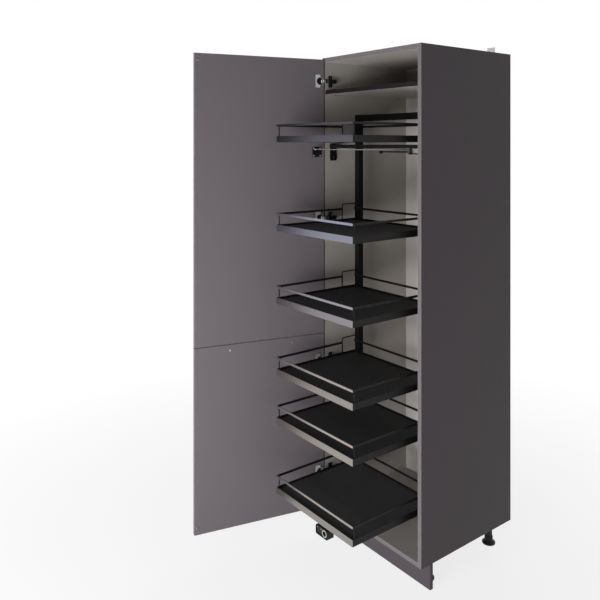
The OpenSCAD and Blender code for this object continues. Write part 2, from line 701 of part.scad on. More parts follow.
module upper_door() color([0.42, 0.4, 0.42]) on_door() leaf(upper_leaf_z, upper_leaf_h);

module lower_door() color([0.42, 0.4, 0.42]) on_door() difference() {
    leaf(plinth_h, lower_leaf_h);
    for (s = [-1, 1]) translate([door_w / 2 + s * handle_pitch / 2, 1, handle_z]) rotate([90, 0, 0])
        cylinder(d = handle_screw_d + 4 * slip, h = front_t + 2);
}

module leaf_dowels() color("silver") on_door() for (u = leaf_dowel_us)
    translate([u, -front_t / 2, upper_leaf_z - leaf_gap / 2 - dowel_len / 2])
        cylinder(d = dowel_d, h = dowel_len);

module hinge_cups() color([0.75, 0.75, 0.77]) on_door() difference() {
    for (z = hinge_heights) translate([cup_u, 0, plinth_h + z]) {
        rotate([90, 0, 0]) cylinder(d = cup_d - 2 * slip, h = cup_depth - slip);
        rotate([-90, 0, 0]) cylinder(d = cup_d + 1.6, h = flange_t);
        block([2 - flange_w / 2 + 4, 0, -flange_h / 2], [2 + flange_w / 2 + 4, flange_t, flange_h / 2]);
    }
    for (z = hinge_heights) translate([cup_u, 0, plinth_h + z]) {
        rotate([90, 0, 0]) translate([0, 0, -flange_t - 1])
            cylinder(d = cup_d - 2 * slip - 2 * cup_wall, h = cup_depth - slip - cup_wall + flange_t + 1);
        block([-cup_d / 2 - 2, -cup_depth + 2 + slip, -strap_h / 2 - 1], [0, flange_t + 1, strap_h / 2 + 1]);
    }
    for (p = cup_screws) translate(p - [0, flange_t + 1, 0]) rotate([-90, 0, 0])
        cylinder(d = screw_d + 2 * slip, h = flange_t + 2);
}

cup_inner_r = cup_d / 2 - slip - cup_wall;
hinge_pin_half = sqrt(pow(cup_inner_r, 2) - pow(cup_u - pin_from_edge + hinge_pin_d / 2, 2)) - 0.1;

module hinge_pins() color("silver") on_door() for (z = hinge_heights)
    translate([pin_from_edge, -pin_from_face, plinth_h + z - hinge_pin_half])
        cylinder(d = hinge_pin_d, h = 2 * hinge_pin_half);

module door_screws() color("silver") on_door() for (p = door_screw_points) translate(p) rotate([-90, 0, 0])
    wood_screw();

grip_shoulder = 12;
grip_taper = 40;
grip_lip = 5;
handle_screw_d = 4;

// Edge pull: a strip on the leaf's face with a grip plate that narrows outwards
module handle() color([0.08, 0.08, 0.08]) on_door() translate([door_w / 2, -front_t, handle_z]) difference() {
    union() {
        block([-handle_l / 2, -handle_t, -handle_h / 2], [handle_l / 2, 0, handle_h / 2]);
        translate([0, 0, -handle_h / 2]) linear_extrude(handle_t) polygon([
            [-handle_l / 2, 0], [handle_l / 2, 0],
            [handle_l / 2 - grip_shoulder, -handle_t - grip_shoulder / 2],
            [handle_l / 2 - grip_taper, -handle_out], [-handle_l / 2 + grip_taper, -handle_out],
            [-handle_l / 2 + grip_shoulder, -handle_t - grip_shoulder / 2]]);
        block([-handle_l / 2 + grip_taper, -handle_out, -handle_h / 2 - grip_lip],
            [handle_l / 2 - grip_taper, -handle_out + handle_t, -handle_h / 2 + handle_t]);
    }
    for (s = [-1, 1]) translate([s * handle_pitch / 2, 1, 0]) rotate([90, 0, 0])
        cylinder(d = handle_screw_d, h = handle_t + 0.6);
}

module handle_screws() color("silver") on_door() for (s = [-1, 1])
    translate([door_w / 2 + s * handle_pitch / 2, 0, handle_z]) rotate([90, 0, 0]) {
        cylinder(d = handle_screw_d - 2 * slip, h = front_t + handle_t - 0.6);
        translate([0, 0, -screw_head_h])
            cylinder(d1 = screw_head_d - 2, d2 = screw_head_d + 1, h = screw_head_h);
    }

bracket_ear_w = 14;
bracket_ear_t = 2.5;
eye_gap = 0.8;

// Plate with an ear whose pin carries the link rod
module door_bracket() color([0.1, 0.1, 0.1]) on_door() {
    difference() {
        block([bracket_plate_u, 0, bracket_plate_z0],
            [bracket_plate_u + plate_w, plate_t, bracket_plate_z0 + plate_w]);
        for (p = bracket_screws) translate(p - [0, plate_t + 1, 0]) rotate([-90, 0, 0])
            cylinder(d = screw_d + 2 * slip, h = plate_t + 2);
    }
    translate([door_pin_u, door_pin_v, bracket_z - rod_eye_h / 2 - eye_gap - bracket_ear_t]) {
        cylinder(d = bracket_ear_w, h = bracket_ear_t);
        translate([-bracket_ear_w / 2, plate_t - door_pin_v, 0])
            cube([bracket_ear_w, door_pin_v - plate_t, bracket_ear_t]);
        cylinder(d = door_pin_d, h = bracket_ear_t + rod_eye_h + 2 * eye_gap + 0.5);
        translate([0, 0, bracket_ear_t + rod_eye_h + 2 * eye_gap]) cylinder(d = door_pin_d + 4, h = 1.5);
    }
}

buffer_points = [[door_w - 12, plinth_h + 30], [door_w - 12, plinth_h + door_h - 30]];

module door_buffers() color([0.85, 0.85, 0.85]) on_door() for (p = buffer_points)
    translate([p[0], 0, p[1]]) rotate([-90, 0, 0]) {
        cylinder(d = buffer_d, h = 1.2);
        translate([0, 0, 1.2]) cylinder(d1 = buffer_d, d2 = buffer_d - 3, h = 1.4);
    }

module link_rod() color([0.8, 0.8, 0.82]) cabinet() translate([rod_start[0], rod_start[1], rod_z])
    rotate([0, 0, rod_angle])
    difference() {
        union() {
            cylinder(d = rod_eye_d, h = rod_eye_h, center = true);
            translate([door_pin_d / 2 + 2, 0, 0]) rotate([0, 90, 0])
                cylinder(d = rod_d, h = rod_len - door_pin_d / 2 - 4);
            translate([rod_len, 0, -rod_eye_h / 2]) cylinder(d = rod_eye_d, h = rod_eye_h);
            translate([rod_len, 0, -rod_d / 2 - level_gap]) cylinder(d = door_pin_d, h = rod_d);
        }
        cylinder(d = door_pin_d + 2 * pin_clearance, h = rod_d + 2, center = true);
    }

// Frame of two columns and two crossbars behind the trays
module column() difference() {
    tube_z([column_x, tray_rear, column_z0], column_w, column_h);
    for (z = tray_heights) {
        translate([column_x + column_w / 2, tray_rear - 1, plinth_h + z + tray_screw_z]) rotate([-90, 0, 0])
            cylinder(d = bolt_d + 2 * slip, h = 6);
        translate([wire_x, tray_rear - 1, plinth_h + z + gallery_h + hanger_rise - wire_d / 2])
            rotate([-90, 0, 0])
            cylinder(d = wire_d + 2 * slip, h = tube_t + 2);
    }
}

module left_column() color([0.08, 0.08, 0.08]) cabinet() mirror([1, 0, 0]) column();

module right_column() color([0.08, 0.08, 0.08]) cabinet() difference() {
    column();
    for (z = arm_bolt_zs) translate([column_x + column_w / 2, tray_rear - 1, arm_bracket_z + z])
        rotate([-90, 0, 0])
        cylinder(d = bolt_d + 2 * slip, h = 6);
}

module column_caps() color([0.05, 0.05, 0.05]) cabinet() both_sides() {
    rounded_block([column_x, tray_rear, column_z0 + column_h],
        [column_x + column_w, tray_rear + column_w, column_z0 + column_h + 2], 2);
    translate([0, 0, column_z0 + column_h - 9])
        block([column_x + tube_t + slip, tray_rear + tube_t + slip, 0],
            [column_x + column_w - tube_t - slip, tray_rear + column_w - tube_t - slip, 9]);
}

module crossbar(z) difference() {
    block([-column_x, tray_rear, z], [column_x, tray_rear + column_w, z + column_w]);
    block([-column_x - 1, tray_rear + tube_t, z + tube_t],
        [column_x + 1, tray_rear + column_w - tube_t, z + column_w - tube_t]);
}

module top_crossbar() color([0.08, 0.08, 0.08]) cabinet() crossbar(column_z0 + column_h - column_w);

module bottom_crossbar() color([0.08, 0.08, 0.08]) cabinet() difference() {
    crossbar(column_z0);
    for (x = beam_screw_xs) translate([x, tray_rear + column_w / 2, column_z0 - 1])
        cylinder(d = bolt_d + 2 * slip, h = 6);
}

beam_screw_xs = [-7, 7];

// Moving beam of the floor runner: a channel that deepens into the carriage of the rollers
module runner_beam() color([0.1, 0.1, 0.1]) cabinet() {
    difference() {
        translate([-beam_w / 2, 0, 0]) rotate([90, 0, 90]) linear_extrude(beam_w) polygon([
            [beam_front, column_z0], [beam_front, beam_bottom],
            [carriage_front - beam_bottom + carriage_bottom, beam_bottom], [carriage_front, carriage_bottom],
            [beam_rear, carriage_bottom], [beam_rear, column_z0]]);
        block([-beam_w / 2 + 2, beam_front - 1, carriage_bottom - 1],
            [beam_w / 2 - 2, beam_rear + 1, column_z0 - 3]);
        for (x = beam_screw_xs) translate([x, tray_rear + column_w / 2, column_z0 - 6])
            cylinder(d = bolt_d + 2 * slip, h = 8);
    }
    for (y = roller_ys) translate([-runner_w / 2 + runner_t + 2, y, roller_z]) rotate([0, 90, 0])
        cylinder(d = axle_d, h = runner_w - 2 * runner_t - 4);
}

roller_gap = 0.8;

module roller_pair(y) both_sides() translate([beam_w / 2 + roller_gap, y, roller_z]) rotate([0, 90, 0])
    difference() {
        cylinder(d = roller_d, h = roller_w);
        translate([0, 0, -1]) cylinder(d = axle_d + 2 * pin_clearance, h = roller_w + 2);
        translate([0, 0, roller_w - 1.5]) difference() {
            cylinder(d = roller_d - 6, h = 3);
            cylinder(d = axle_d + 4, h = 3);
        }
    }

module front_rollers() color([0.9, 0.9, 0.88]) cabinet() roller_pair(roller_ys[0]);

module rear_rollers() color([0.9, 0.9, 0.88]) cabinet() roller_pair(roller_ys[1]);

// Upright plate with rounded corners, from one depth to another
module front_plate(low, high, r) translate([0, high[1], 0]) rotate([90, 0, 0])
    linear_extrude(high[1] - low[1])
    polygon(rounded_outline([low[0], low[2]], [high[0], high[2]], r));

cap_rim = 3.5;
cap_recess = 4;
ring_x = 17;
ring_w = 4;
ring_seat = 7;
ring_z = cap_bottom + cap_rim + ring_d / 2 + 1;
cap_screw_xs = [-29, -5];
cap_screw_z = column_z0 - 10;

// Housing on the beam's front end: a frame round a recessed face with the seat of the ring
module beam_cap() color([0.08, 0.08, 0.08]) cabinet() difference() {
    front_plate([-cap_w / 2, cap_front, cap_bottom], [cap_w / 2, cap_rear, column_z0], 6);
    front_plate([-cap_w / 2 + cap_rim, cap_front - 1, cap_bottom + cap_rim],
        [cap_w / 2 - cap_rim, cap_front + cap_recess, column_z0 - cap_rim], 4);
    block([-beam_w / 2 - slip, beam_front - slip, beam_bottom - slip],
        [beam_w / 2 + slip, cap_rear + 1, column_z0 + 1]);
    both_sides() block([beam_w / 2 + 4, cap_front + cap_recess + ring_seat + 4, cap_bottom + cap_rim],
        [cap_w / 2 - cap_rim, cap_rear + 1, column_z0 - cap_rim]);
    translate([ring_x, cap_front, ring_z]) rotate([-90, 0, 0])
        cylinder(d = ring_d + 2 * slip, h = cap_recess + ring_seat);
    for (x = cap_screw_xs) translate([x, cap_front, cap_screw_z]) rotate([-90, 0, 0])
        cylinder(d = bolt_d - 2 + 2 * slip, h = cap_recess + 8);
}

// Bright ring that sits in the housing's front
module cap_ring() color("silver") cabinet() translate([ring_x, cap_front + 1, ring_z]) rotate([-90, 0, 0])
    difference() {
        cylinder(d = ring_d, h = cap_recess + ring_seat - 1);
        translate([0, 0, -1]) cylinder(d = ring_d - 2 * ring_w, h = cap_recess + ring_seat - 2);
    }

// Channel on the cabinet floor in which the rollers run
module runner_rail() color([0.6, 0.6, 0.62]) cabinet() translate([0, runner_front, floor_z]) difference() {
    block([-runner_w / 2, 0, 0], [runner_w / 2, runner_len, runner_h]);
    block([-runner_w / 2 + runner_t, -1, runner_t],
        [runner_w / 2 - runner_t, runner_len + 1, runner_h - runner_t]);
    block([-runner_w / 2 + runner_t + runner_lip, -1, runner_h - runner_t - 1],
        [runner_w / 2 - runner_t - runner_lip, runner_len + 1, runner_h + 1]);
    for (y = runner_screw_ys) translate([0, y - runner_front, -1])
        cylinder(d = screw_d + 2 * slip, h = runner_t + 2);
}

module frame_screws() color("silver") cabinet() {
    both_sides() for (z = tray_heights)
        translate([column_x + column_w / 2, tray_rear - rim_t, plinth_h + z + tray_screw_z])
        rotate([-90, 0, 0]) frame_bolt(rim_t + tube_t + 6);
    for (z = arm_bolt_zs) translate([column_x + column_w / 2, tray_rear - arm_bracket_foot,
        arm_bracket_z + z])
        rotate([-90, 0, 0]) frame_bolt(arm_bracket_foot + tube_t + 6);
    for (x = beam_screw_xs) translate([x, tray_rear + column_w / 2, column_z0 + tube_t]) mirror([0, 0, 1])
        frame_bolt(tube_t + 3);
    for (x = cap_screw_xs) translate([x, cap_front + cap_recess, cap_screw_z]) rotate([-90, 0, 0]) {
        cylinder(d = bolt_d - 2, h = 8 - slip);
        translate([0, 0, -2]) cylinder(d1 = bolt_d, d2 = bolt_d + 1, h = 2);
    }
}

// Bolt whose head lies behind z = 0 and whose shank points along +Z
module frame_bolt(len) {
    cylinder(d = bolt_d, h = len);
    translate([0, 0, -2.5]) cylinder(d1 = bolt_d + 1, d2 = bolt_d + 4, h = 2.5);
}

module wall_angles() color("silver") cabinet() for (x = [-1, 1] * angle_pitch / 2) difference() {
    union() {
        block([x - angle_l / 2, cabinet_d - angle_l, carcass_top],
            [x + angle_l / 2, cabinet_d, carcass_top + angle_t]);
        block([x - angle_l / 2, cabinet_d - angle_t, carcass_top],
            [x + angle_l / 2, cabinet_d, carcass_top + angle_l]);
    }
    translate([x, angle_screw_y, carcass_top - 1]) cylinder(d = screw_d + 2 * slip, h = angle_t + 2);
    translate([x, cabinet_d + 1, carcass_top + angle_l / 2 + angle_t / 2]) rotate([90, 0, 0])
        cylinder(d = angle_hole_d, h = angle_t + 2);
}

module carcass_screws() color("silver") cabinet() {
    left_wall_screws();
    right_wall_screws();
    runner_screws();
    angle_screws();
}

// Sheet rim of a tray with the ledge that carries its board
module tray(n) color([0.16, 0.16, 0.17]) cabinet() translate([0, 0, plinth_h + tray_heights[n - 1]])
    difference() {
        rounded_block([-tray_w / 2, tray_front, 0], [tray_w / 2, tray_rear, rim_h], 2.5);
        block([-tray_w / 2 + rim_t, tray_front + rim_t, rim_t],
            [tray_w / 2 - rim_t, tray_rear - rim_t, rim_h + 1]);
        block([-tray_w / 2 + ledge_w, tray_front + ledge_w, -1],
            [tray_w / 2 - ledge_w, tray_rear - ledge_w, rim_t + 1]);
        for (s = [-1, 1]) translate([s * (column_x + column_w / 2), tray_rear - rim_t - 1, tray_screw_z])
            rotate([-90, 0, 0])
            cylinder(d = bolt_d + 2 * slip, h = rim_t + 2);
    }

screw_notch = [14, 5];

module tray_boards() color([0.13, 0.13, 0.14]) cabinet() for (z = tray_heights)
    translate([0, 0, plinth_h + z + rim_t]) difference() {
        block([-tray_w / 2 + rim_t + tray_board_play, tray_front + rim_t + tray_board_play, 0],
            [tray_w / 2 - rim_t - tray_board_play, tray_rear - rim_t - tray_board_play, tray_board_t]);
        for (s = [-1, 1]) translate([s * (column_x + column_w / 2) - screw_notch[0] / 2,
            tray_rear - rim_t - screw_notch[1], -1])
            cube([screw_notch[0], screw_notch[1] + 1, tray_board_t + 2]);
    }

// Gallery: flat bar on three sides, two front posts, a hanger at each rear corner, and the rear bar
module gallery(n) color([0.12, 0.12, 0.13]) cabinet() translate([0, 0, plinth_h + tray_heights[n - 1]]) {
    foot = rim_t + tray_board_t;
    x = tray_w / 2;
    bar_z = gallery_h - bar_h;
    difference() {
        rounded_block([-x, tray_front, bar_z], [x, hanger_y, gallery_h], 2.5);
        block([-x + bar_t, tray_front + bar_t, bar_z - 1], [x - bar_t, hanger_y + 1, gallery_h + 1]);
    }
    both_sides() {
        translate([wire_x, tray_front + post_setback, foot]) cylinder(d = wire_d, h = gallery_h - foot - 0.5);
        hanger(foot);
    }
    block([-x, tray_rear - bar_t, bar_z], [x, tray_rear, gallery_h]);
}

// Bent wire from the tray board up over the gallery and back into the column
module hanger(foot) translate([wire_x, hanger_y - wire_d / 2, foot]) {
    top = gallery_h + hanger_rise - wire_d / 2 - foot;
    cylinder(d = wire_d, h = top - hanger_r);
    translate([0, hanger_r, top - hanger_r]) rotate([90, 0, 90]) rotate([0, 0, 90]) rotate_extrude(angle = 90)
        translate([hanger_r, 0]) circle(d = wire_d);
    translate([0, hanger_r, top]) rotate([-90, 0, 0])
        cylinder(d = wire_d, h = hanger_reach + wire_d / 2 - hanger_r + tube_t + 2);
}

side_left();
side_right();
top_panel();
bottom_panel();
back_panel();
fixed_shelf();
shelf_pins();
plinth();
plinth_clips();
leg_sockets();
leg_feet();
hinge_plates();
hinge_arms();
cross_rail();
rail_brackets();
arm_pivot();
runner_rail();
wall_angles();
carcass_screws();
upper_door();
lower_door();
leaf_dowels();
hinge_cups();
hinge_pins();
door_screws();
handle();
handle_screws();
door_bracket();
door_buffers();
link_rod();
arm_front();
elbow_pin();
arm_rear();
left_column();
right_column();
column_caps();
top_crossbar();
bottom_crossbar();
arm_bracket();
runner_beam();
beam_cap();
cap_ring();
frame_screws();
front_rollers();
rear_rollers();
tray(1);  // tray_1
tray(2);  // tray_2
tray(3);  // tray_3
tray(4);  // tray_4
tray(5);  // tray_5
tray(6);  // tray_6
tray_boards();
gallery(1);  // gallery_1
gallery(2);  // gallery_2
gallery(3);  // gallery_3
gallery(4);  // gallery_4
gallery(5);  // gallery_5
gallery(6);  // gallery_6
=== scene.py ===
"""Looks for a tall pantry cabinet whose door stands open and whose six trays are drawn out."""

import json
import math

import bpy
import numpy as np
from mathutils import Matrix, Vector

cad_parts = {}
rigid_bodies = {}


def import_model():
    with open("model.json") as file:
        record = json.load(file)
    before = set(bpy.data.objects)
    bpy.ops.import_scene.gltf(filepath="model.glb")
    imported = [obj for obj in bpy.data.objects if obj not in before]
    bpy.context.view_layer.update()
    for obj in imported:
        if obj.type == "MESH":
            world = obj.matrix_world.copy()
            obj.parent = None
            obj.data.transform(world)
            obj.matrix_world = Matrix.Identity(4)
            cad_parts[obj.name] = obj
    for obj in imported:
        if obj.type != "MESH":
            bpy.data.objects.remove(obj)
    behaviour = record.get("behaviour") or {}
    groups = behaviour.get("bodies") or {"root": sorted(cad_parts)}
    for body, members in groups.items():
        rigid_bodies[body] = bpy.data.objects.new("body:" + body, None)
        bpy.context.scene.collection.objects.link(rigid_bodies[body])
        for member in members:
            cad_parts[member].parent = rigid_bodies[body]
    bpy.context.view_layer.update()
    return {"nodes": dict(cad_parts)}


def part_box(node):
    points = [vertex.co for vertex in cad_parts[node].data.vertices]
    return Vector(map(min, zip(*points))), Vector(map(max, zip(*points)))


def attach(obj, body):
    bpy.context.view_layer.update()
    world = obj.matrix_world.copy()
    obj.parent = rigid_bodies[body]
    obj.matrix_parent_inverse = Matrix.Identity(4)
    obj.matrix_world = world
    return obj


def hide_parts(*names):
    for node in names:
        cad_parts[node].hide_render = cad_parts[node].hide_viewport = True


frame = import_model()
NODES = frame["nodes"]
TRAYS = range(1, 7)

# Lines of the cabinet, read from the frame
CARCASS_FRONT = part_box("side_left")[0].y
SHELF_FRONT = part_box("fixed_shelf")[0].y
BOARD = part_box("top_panel")[1].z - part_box("top_panel")[0].z
INNER_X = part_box("side_right")[1].x - BOARD
TRAY_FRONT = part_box("tray_1")[0].y
TRAY_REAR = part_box("tray_1")[1].y
STRIPS_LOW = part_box("tray_1")[0].z
STRIPS_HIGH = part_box("gallery_6")[1].z

# Linear colours of the boards and the door
GRAPHITE = (0.131, 0.115, 0.125)
# Lit copy of the graphite for the boards' front edge bands: a painted highlight
LIT_GRAPHITE_EDGE = (0.150, 0.133, 0.143)
# Shaded copy of the graphite for the outer faces of the side, top, bottom and plinth boards:
# painted shade
SHADED_GRAPHITE = (0.065, 0.054, 0.062)
# Near-black painted shade for the fixed shelf's front edge
SHADED_SHELF_EDGE = (0.012, 0.010, 0.012)
STONE_WHITE = (0.42, 0.395, 0.37)

# Linear colours of the coats, metals and plastics
COAT_BLACK = (0.007, 0.007, 0.0074)
TRAY_FLOOR = (0.062, 0.062, 0.063)
ZINC = (0.55, 0.55, 0.57)
DULL_ZINC = (0.20, 0.195, 0.19)
NICKEL = (0.66, 0.65, 0.64)
NICKEL_SATIN = (0.80, 0.79, 0.78)
HINGE_BLACK = (0.011, 0.010, 0.010)
MOULDED_BLACK = (0.012, 0.012, 0.012)
ROLLER_WHITE = (0.70, 0.69, 0.66)
BUFFER_CLEAR = (0.80, 0.80, 0.80)

# Painted reflections on the trays' satin strips, by height: warm below, cooler and darker towards
# the top
STRIP_REFLECTIONS = [
    (0.00, (0.33, 0.31, 0.285)),
    (0.19, (0.40, 0.365, 0.33)),
    (0.33, (0.36, 0.325, 0.305)),
    (0.53, (0.30, 0.285, 0.31)),
    (0.74, (0.28, 0.29, 0.36)),
    (0.96, (0.10, 0.10, 0.115)),
    (1.00, (0.045, 0.041, 0.06)),
]
# How much brighter the painted reflections on the galleries' bars are than those on the strips
BAR_REFLECTION_LIFT = 1.25

# Waves a metre of the patterns that change a finish's roughness or its relief
BOARD_CLOUDS = 40
BOARD_PORES = 900
LACQUER_CLOUDS = 25
LACQUER_RIPPLE = 260
LACQUER_SPRAY = 1800
COAT_PEBBLES = 1500
PLASTIC_SKIN = 1200
METAL_STREAKS = 500
ROD_GRINDING = 600
STRIP_BRUSHING = 700
RUBBER_CLOUDS = 300

# Brushed and ground patterns are drawn out along X
BRUSH_STRETCH = (0.03, 1, 1)
GRIND_STRETCH = (0.1, 1, 1)

# Depths of the reliefs, in metres
PORE_DEPTH = 0.00008
RIPPLE_DEPTH = 0.00010
PEBBLE_DEPTH = 0.00012
SKIN_DEPTH = 0.00008
STREAK_DEPTH = 0.00004
BRUSH_DEPTH = 0.00010

# Where one piece changes its finish, in metres: under a board's face, behind its edge band (whose
# lit graphite is a painted highlight), in the band's glue line, behind a strip's front, before the
# hinge straps, at the rod's two clips and behind the lip of the ring, where its bore takes painted
# shade
FACE = 0.0004
EDGE_BAND = 0.0010
GLUE_LINE = (0.0008, 0.0011)
STRIP_DEPTH = 0.0012
STRAP_START = 0.001
LEVER_CLIP = 0.016
DOOR_CLIP = 0.009
RING_LIP = 0.002

# The glue's shade of the board's colour, and how metallic the hinges are
GLUE_SHADE = 0.35
HINGE_SHEEN = 0.85

# The door's turn at rest, and its pins' places from the leaf's face and edge, in metres
DOOR_OPEN = math.radians(104)
PIN_DEPTH = 0.0088
PIN_INSET = 0.0078

# Joining and easing the mesh: points closer than this are one, in metres; faces within the first
# angle are one plane, edges over the second are rounded, and those over the third stay sharp
SAME_POINT = 0.00001
PLANE_ANGLE = 0.5
EASED_ANGLE = 35
SHARP_ANGLE = 40
# A face whose normal has more than this along an axis is an end face
END_FACE = 0.9

# Screws: their heads are drawn smaller than the CAD's, to clear the side panel when the door shuts.
# The head's height goes by its radius, and the dome has steps of a rise by the head's height and a
# radius by the head's
HEAD_FIT = 0.92
HEAD_RISE = 0.55
DOME = [(0.0, 1.0), (0.45, 1.0), (0.35, 0.86), (0.2, 0.6192)]
# Arms of the cross recess: length and width by the head's radius, and depth by its height
RECESS_L = 1.05
RECESS_W = 0.24
RECESS_D = 0.9
# Length of a screw's tip, where the shank's radius is read, in metres
TIP = 0.0005

# Bushes at the feet of the gallery posts, in metres
COLLAR_R = 0.0036
COLLAR_H = 0.0025
COLLAR_TOP = 0.8 * COLLAR_R
COLLAR_RISE = 0.0006
COLLAR_EASE = 0.0003
RIM_T = 0.002
TRAY_BOARD_T = 0.016
POST_INSET = 0.0046
POST_SETBACK = 0.012
HANGER_REACH = 0.0795

# Rollers: width and easing in metres, tread and dish by the radius, dish's depth and hub's rise by
# the width
ROLLER_W = 0.007
ROLLER_EASE = 0.0007
TREAD = 0.18
DISH = 0.38
DISH_DEPTH = 0.2
HUB_RISE = 0.17

# Adjustable feet, in metres
FOOT_R = 0.028
FOOT_BASE = 0.006
FOOT_SHOULDER = 0.93 * FOOT_R
FOOT_NECK = 0.68 * FOOT_SHOULDER
NECK_RISE = 0.006
STEM_RISE = 0.002
LEG_R = 0.015
LEG_TOP = 0.8 * LEG_R
FOOT_EASE = 0.0006
GRIP_R = LEG_R + 0.0015
GRIP_H = 0.012
GRIP_LEVEL = 0.026
RIB_GAP = 0.0003
RIB_RISE = 0.0010

# Rivets on the hinge straps and barrels of the hinges, in metres
STRAP_H = 0.012
RIVET_R = 0.0028
RIVET_H = 0.0008
RIVET_TOP = 0.7 * RIVET_R
RIVET_RISE = 0.0005
RIVET_EASE = 0.0002
BARREL_R = 0.005
BARREL_H = 0.0115
BARREL_TOP = 0.75 * BARREL_R
BARREL_RISE = 0.0006
BARREL_EASE = 0.0004
BARREL_PLACE = Vector((0.012, 0.002, 0))

# Flanges of the hinge cups, in metres from the door's edge and from the cup's centre
CUP_CENTRE = 0.0203
CUP_BORE = 0.0172
FLANGE_IN = 0.002
FLANGE_OUT = 0.0220
FLANGE_H = 0.058
FLANGE_T = 0.00135
FLANGE_CORNER = 0.004
FLANGE_EASE = 0.0003
CUP_SCREW_IN = 0.002
CUP_SCREW_OUT = 0.0225
CUP_SCREW_R = 0.0022
DRILL_L = 0.02

# Floor, light and camera
FLOOR_PALE = (0.85, 0.845, 0.835)
FLOOR_RADIUS = 9.0
FLOOR_FADE = (0.6, 2.6)
FLOOR_GLOW = 0.80
AMBIENT = 0.105
KEY_PLACE = (0.62, -2.9, 0.45)
KEY_SIZE = 1.8
KEY_WATTS = 158
FILL_PLACE = (-1.4, 3.6, 2.2)
FILL_SIZE = 2.4
FILL_WATTS = 55
LIGHT_AIM = (0, 0, 0.95)
CAMERA_PLACE = (2.0606, -1.9823, 1.7308)
CAMERA_TURN = 52.73
CAMERA_LENS = 40.16
CAMERA_SHIFT = -0.2592
FILM_WIDTH = 36


class Wire:
    """A socket of a material. Sums of wires add Math nodes, and node() adds any other node."""

    def __init__(self, socket):
        self.socket = socket

    def node(self, kind, settings=None, inputs=None, output=0):
        """Adds a node, sets it, feeds its sockets and gives back one of its outputs."""
        made = self.socket.id_data.nodes.new("ShaderNode" + kind)
        for name, value in (settings or {}).items():
            if name == "stops":
                stops = made.color_ramp.elements
                while len(stops) < len(value):
                    stops.new(1.0)
                for stop, (place, colour) in zip(stops, value):
                    stop.position = place
                    stop.color = (*colour, 1)
            else:
                setattr(made, name, value)
        for name, value in (inputs or {}).items():
            if isinstance(value, Wire):
                self.socket.id_data.links.new(value.socket, made.inputs[name])
            else:
                made.inputs[name].default_value = value
        return Wire(made.outputs[output])

    def sum(self, operation, first, second):
        """Adds a Math node for a sum of two values."""
        return self.node("Math", {"operation": operation}, {0: first, 1: second})

    def __add__(self, other):
        return self.sum("ADD", self, other)

    def __sub__(self, other):
        return self.sum("SUBTRACT", self, other)

    def __rsub__(self, other):
        return self.sum("SUBTRACT", other, self)

    def __mul__(self, other):
        return self.sum("MULTIPLY", self, other)

    def __truediv__(self, other):
        return self.sum("DIVIDE", self, other)

    def __gt__(self, other):
        return self.sum("GREATER_THAN", self, other)

    def __lt__(self, other):
        return self.sum("LESS_THAN", self, other)

    __radd__ = __add__
    __rmul__ = __mul__


def new_finish(name):
    """A material, its shader's surface node and the Object coordinates that its patterns read."""
    material = bpy.data.materials.new(name)
    material.use_nodes = True
    tree = material.node_tree
    shader = tree.nodes["Principled BSDF"]
    places = tree.nodes.new("ShaderNodeTexCoord")
    return material, shader, Wire(places.outputs["Object"])


def plug(shader, name, value):
    """Links a wire to a socket of the shader, or sets the socket to a value."""
    if isinstance(value, Wire):
        shader.id_data.links.new(value.socket, shader.inputs[name])
    else:
        shader.inputs[name].default_value = value


def grain(places, waves, detail=2, stretch=(1, 1, 1)):
    """Noise between 0 and 1 at so many waves a metre."""
    stretched = places.node("Mapping", None, {"Vector": places, "Scale": stretch})
    return places.node("TexNoise", None, {"Vector": stretched, "Scale": waves, "Detail": detail})


def as_colour(value):
    """A wire as it is, or three numbers as a colour socket takes them."""
    return value if isinstance(value, Wire) else (*value, 1)


def blended(factor, first, second):
    """Colour first where the factor is 0 and second where it is 1."""
    inputs = {0: factor, 6: as_colour(first), 7: as_colour(second)}
    return factor.node("Mix", {"data_type": "RGBA"}, inputs, 2)


def shaded(colour, amount):
    """The colour made lighter or darker by a factor."""
    return [c * amount for c in colour]


def varied(places, colour, waves, drift):
    """A colour that drifts a little lighter and darker over the surface."""
    return blended(grain(places, waves), shaded(colour, 1 - drift), shaded(colour, 1 + drift))


def along(places, axis):
    """The coordinate along X, Y or Z, by the axis's number."""
    return places.node("SeparateXYZ", None, {0: places}, axis)


def bumped(height, distance, strength=0.5):
    """A normal that follows a pattern whose relief has this depth in metres."""
    return height.node("Bump", None, {"Height": height, "Distance": distance, "Strength": strength})


def board_finish(name, outside, inside, seen_inside, front=None, gloss=0.3):
    """Melamine board: outside colour but for the faces that look into the cabinet, and a painted
    highlight on its front edge band.
    """
    material, shader, places = new_finish(name)
    outer = varied(places, outside, waves=3, drift=0.04)
    if front is not None:
        depth = along(places, 1)
        glue = (depth > front + GLUE_LINE[0]) * (depth < front + GLUE_LINE[1])
        # The front edge band takes the lit copy of the graphite, which is a painted highlight
        outer = blended(depth < front + EDGE_BAND, outer, LIT_GRAPHITE_EDGE)
        outer = blended(glue, outer, shaded(outside, GLUE_SHADE))
    inner = varied(places, inside, waves=3, drift=0.03)
    plug(shader, "Base Color", blended(seen_inside(places), outer, inner))
    plug(shader, "Specular IOR Level", gloss)
    plug(shader, "Roughness", 0.46 + grain(places, BOARD_CLOUDS) * 0.12)
    plug(shader, "Normal", bumped(grain(places, BOARD_PORES, detail=3), PORE_DEPTH))
    return material


def lacquer(name, colour):
    """Matt lacquer of the door leaves, with the faint ripple of a sprayed coat."""
    material, shader, places = new_finish(name)
    ripple = grain(places, LACQUER_RIPPLE, detail=1) * 0.8 + grain(places, LACQUER_SPRAY) * 0.2
    plug(shader, "Base Color", varied(places, colour, waves=2.2, drift=0.035))
    plug(shader, "Specular IOR Level", 0.3)
    plug(shader, "Roughness", 0.44 + grain(places, LACQUER_CLOUDS) * 0.08)
    plug(shader, "Normal", bumped(ripple, RIPPLE_DEPTH, strength=0.35))
    return material


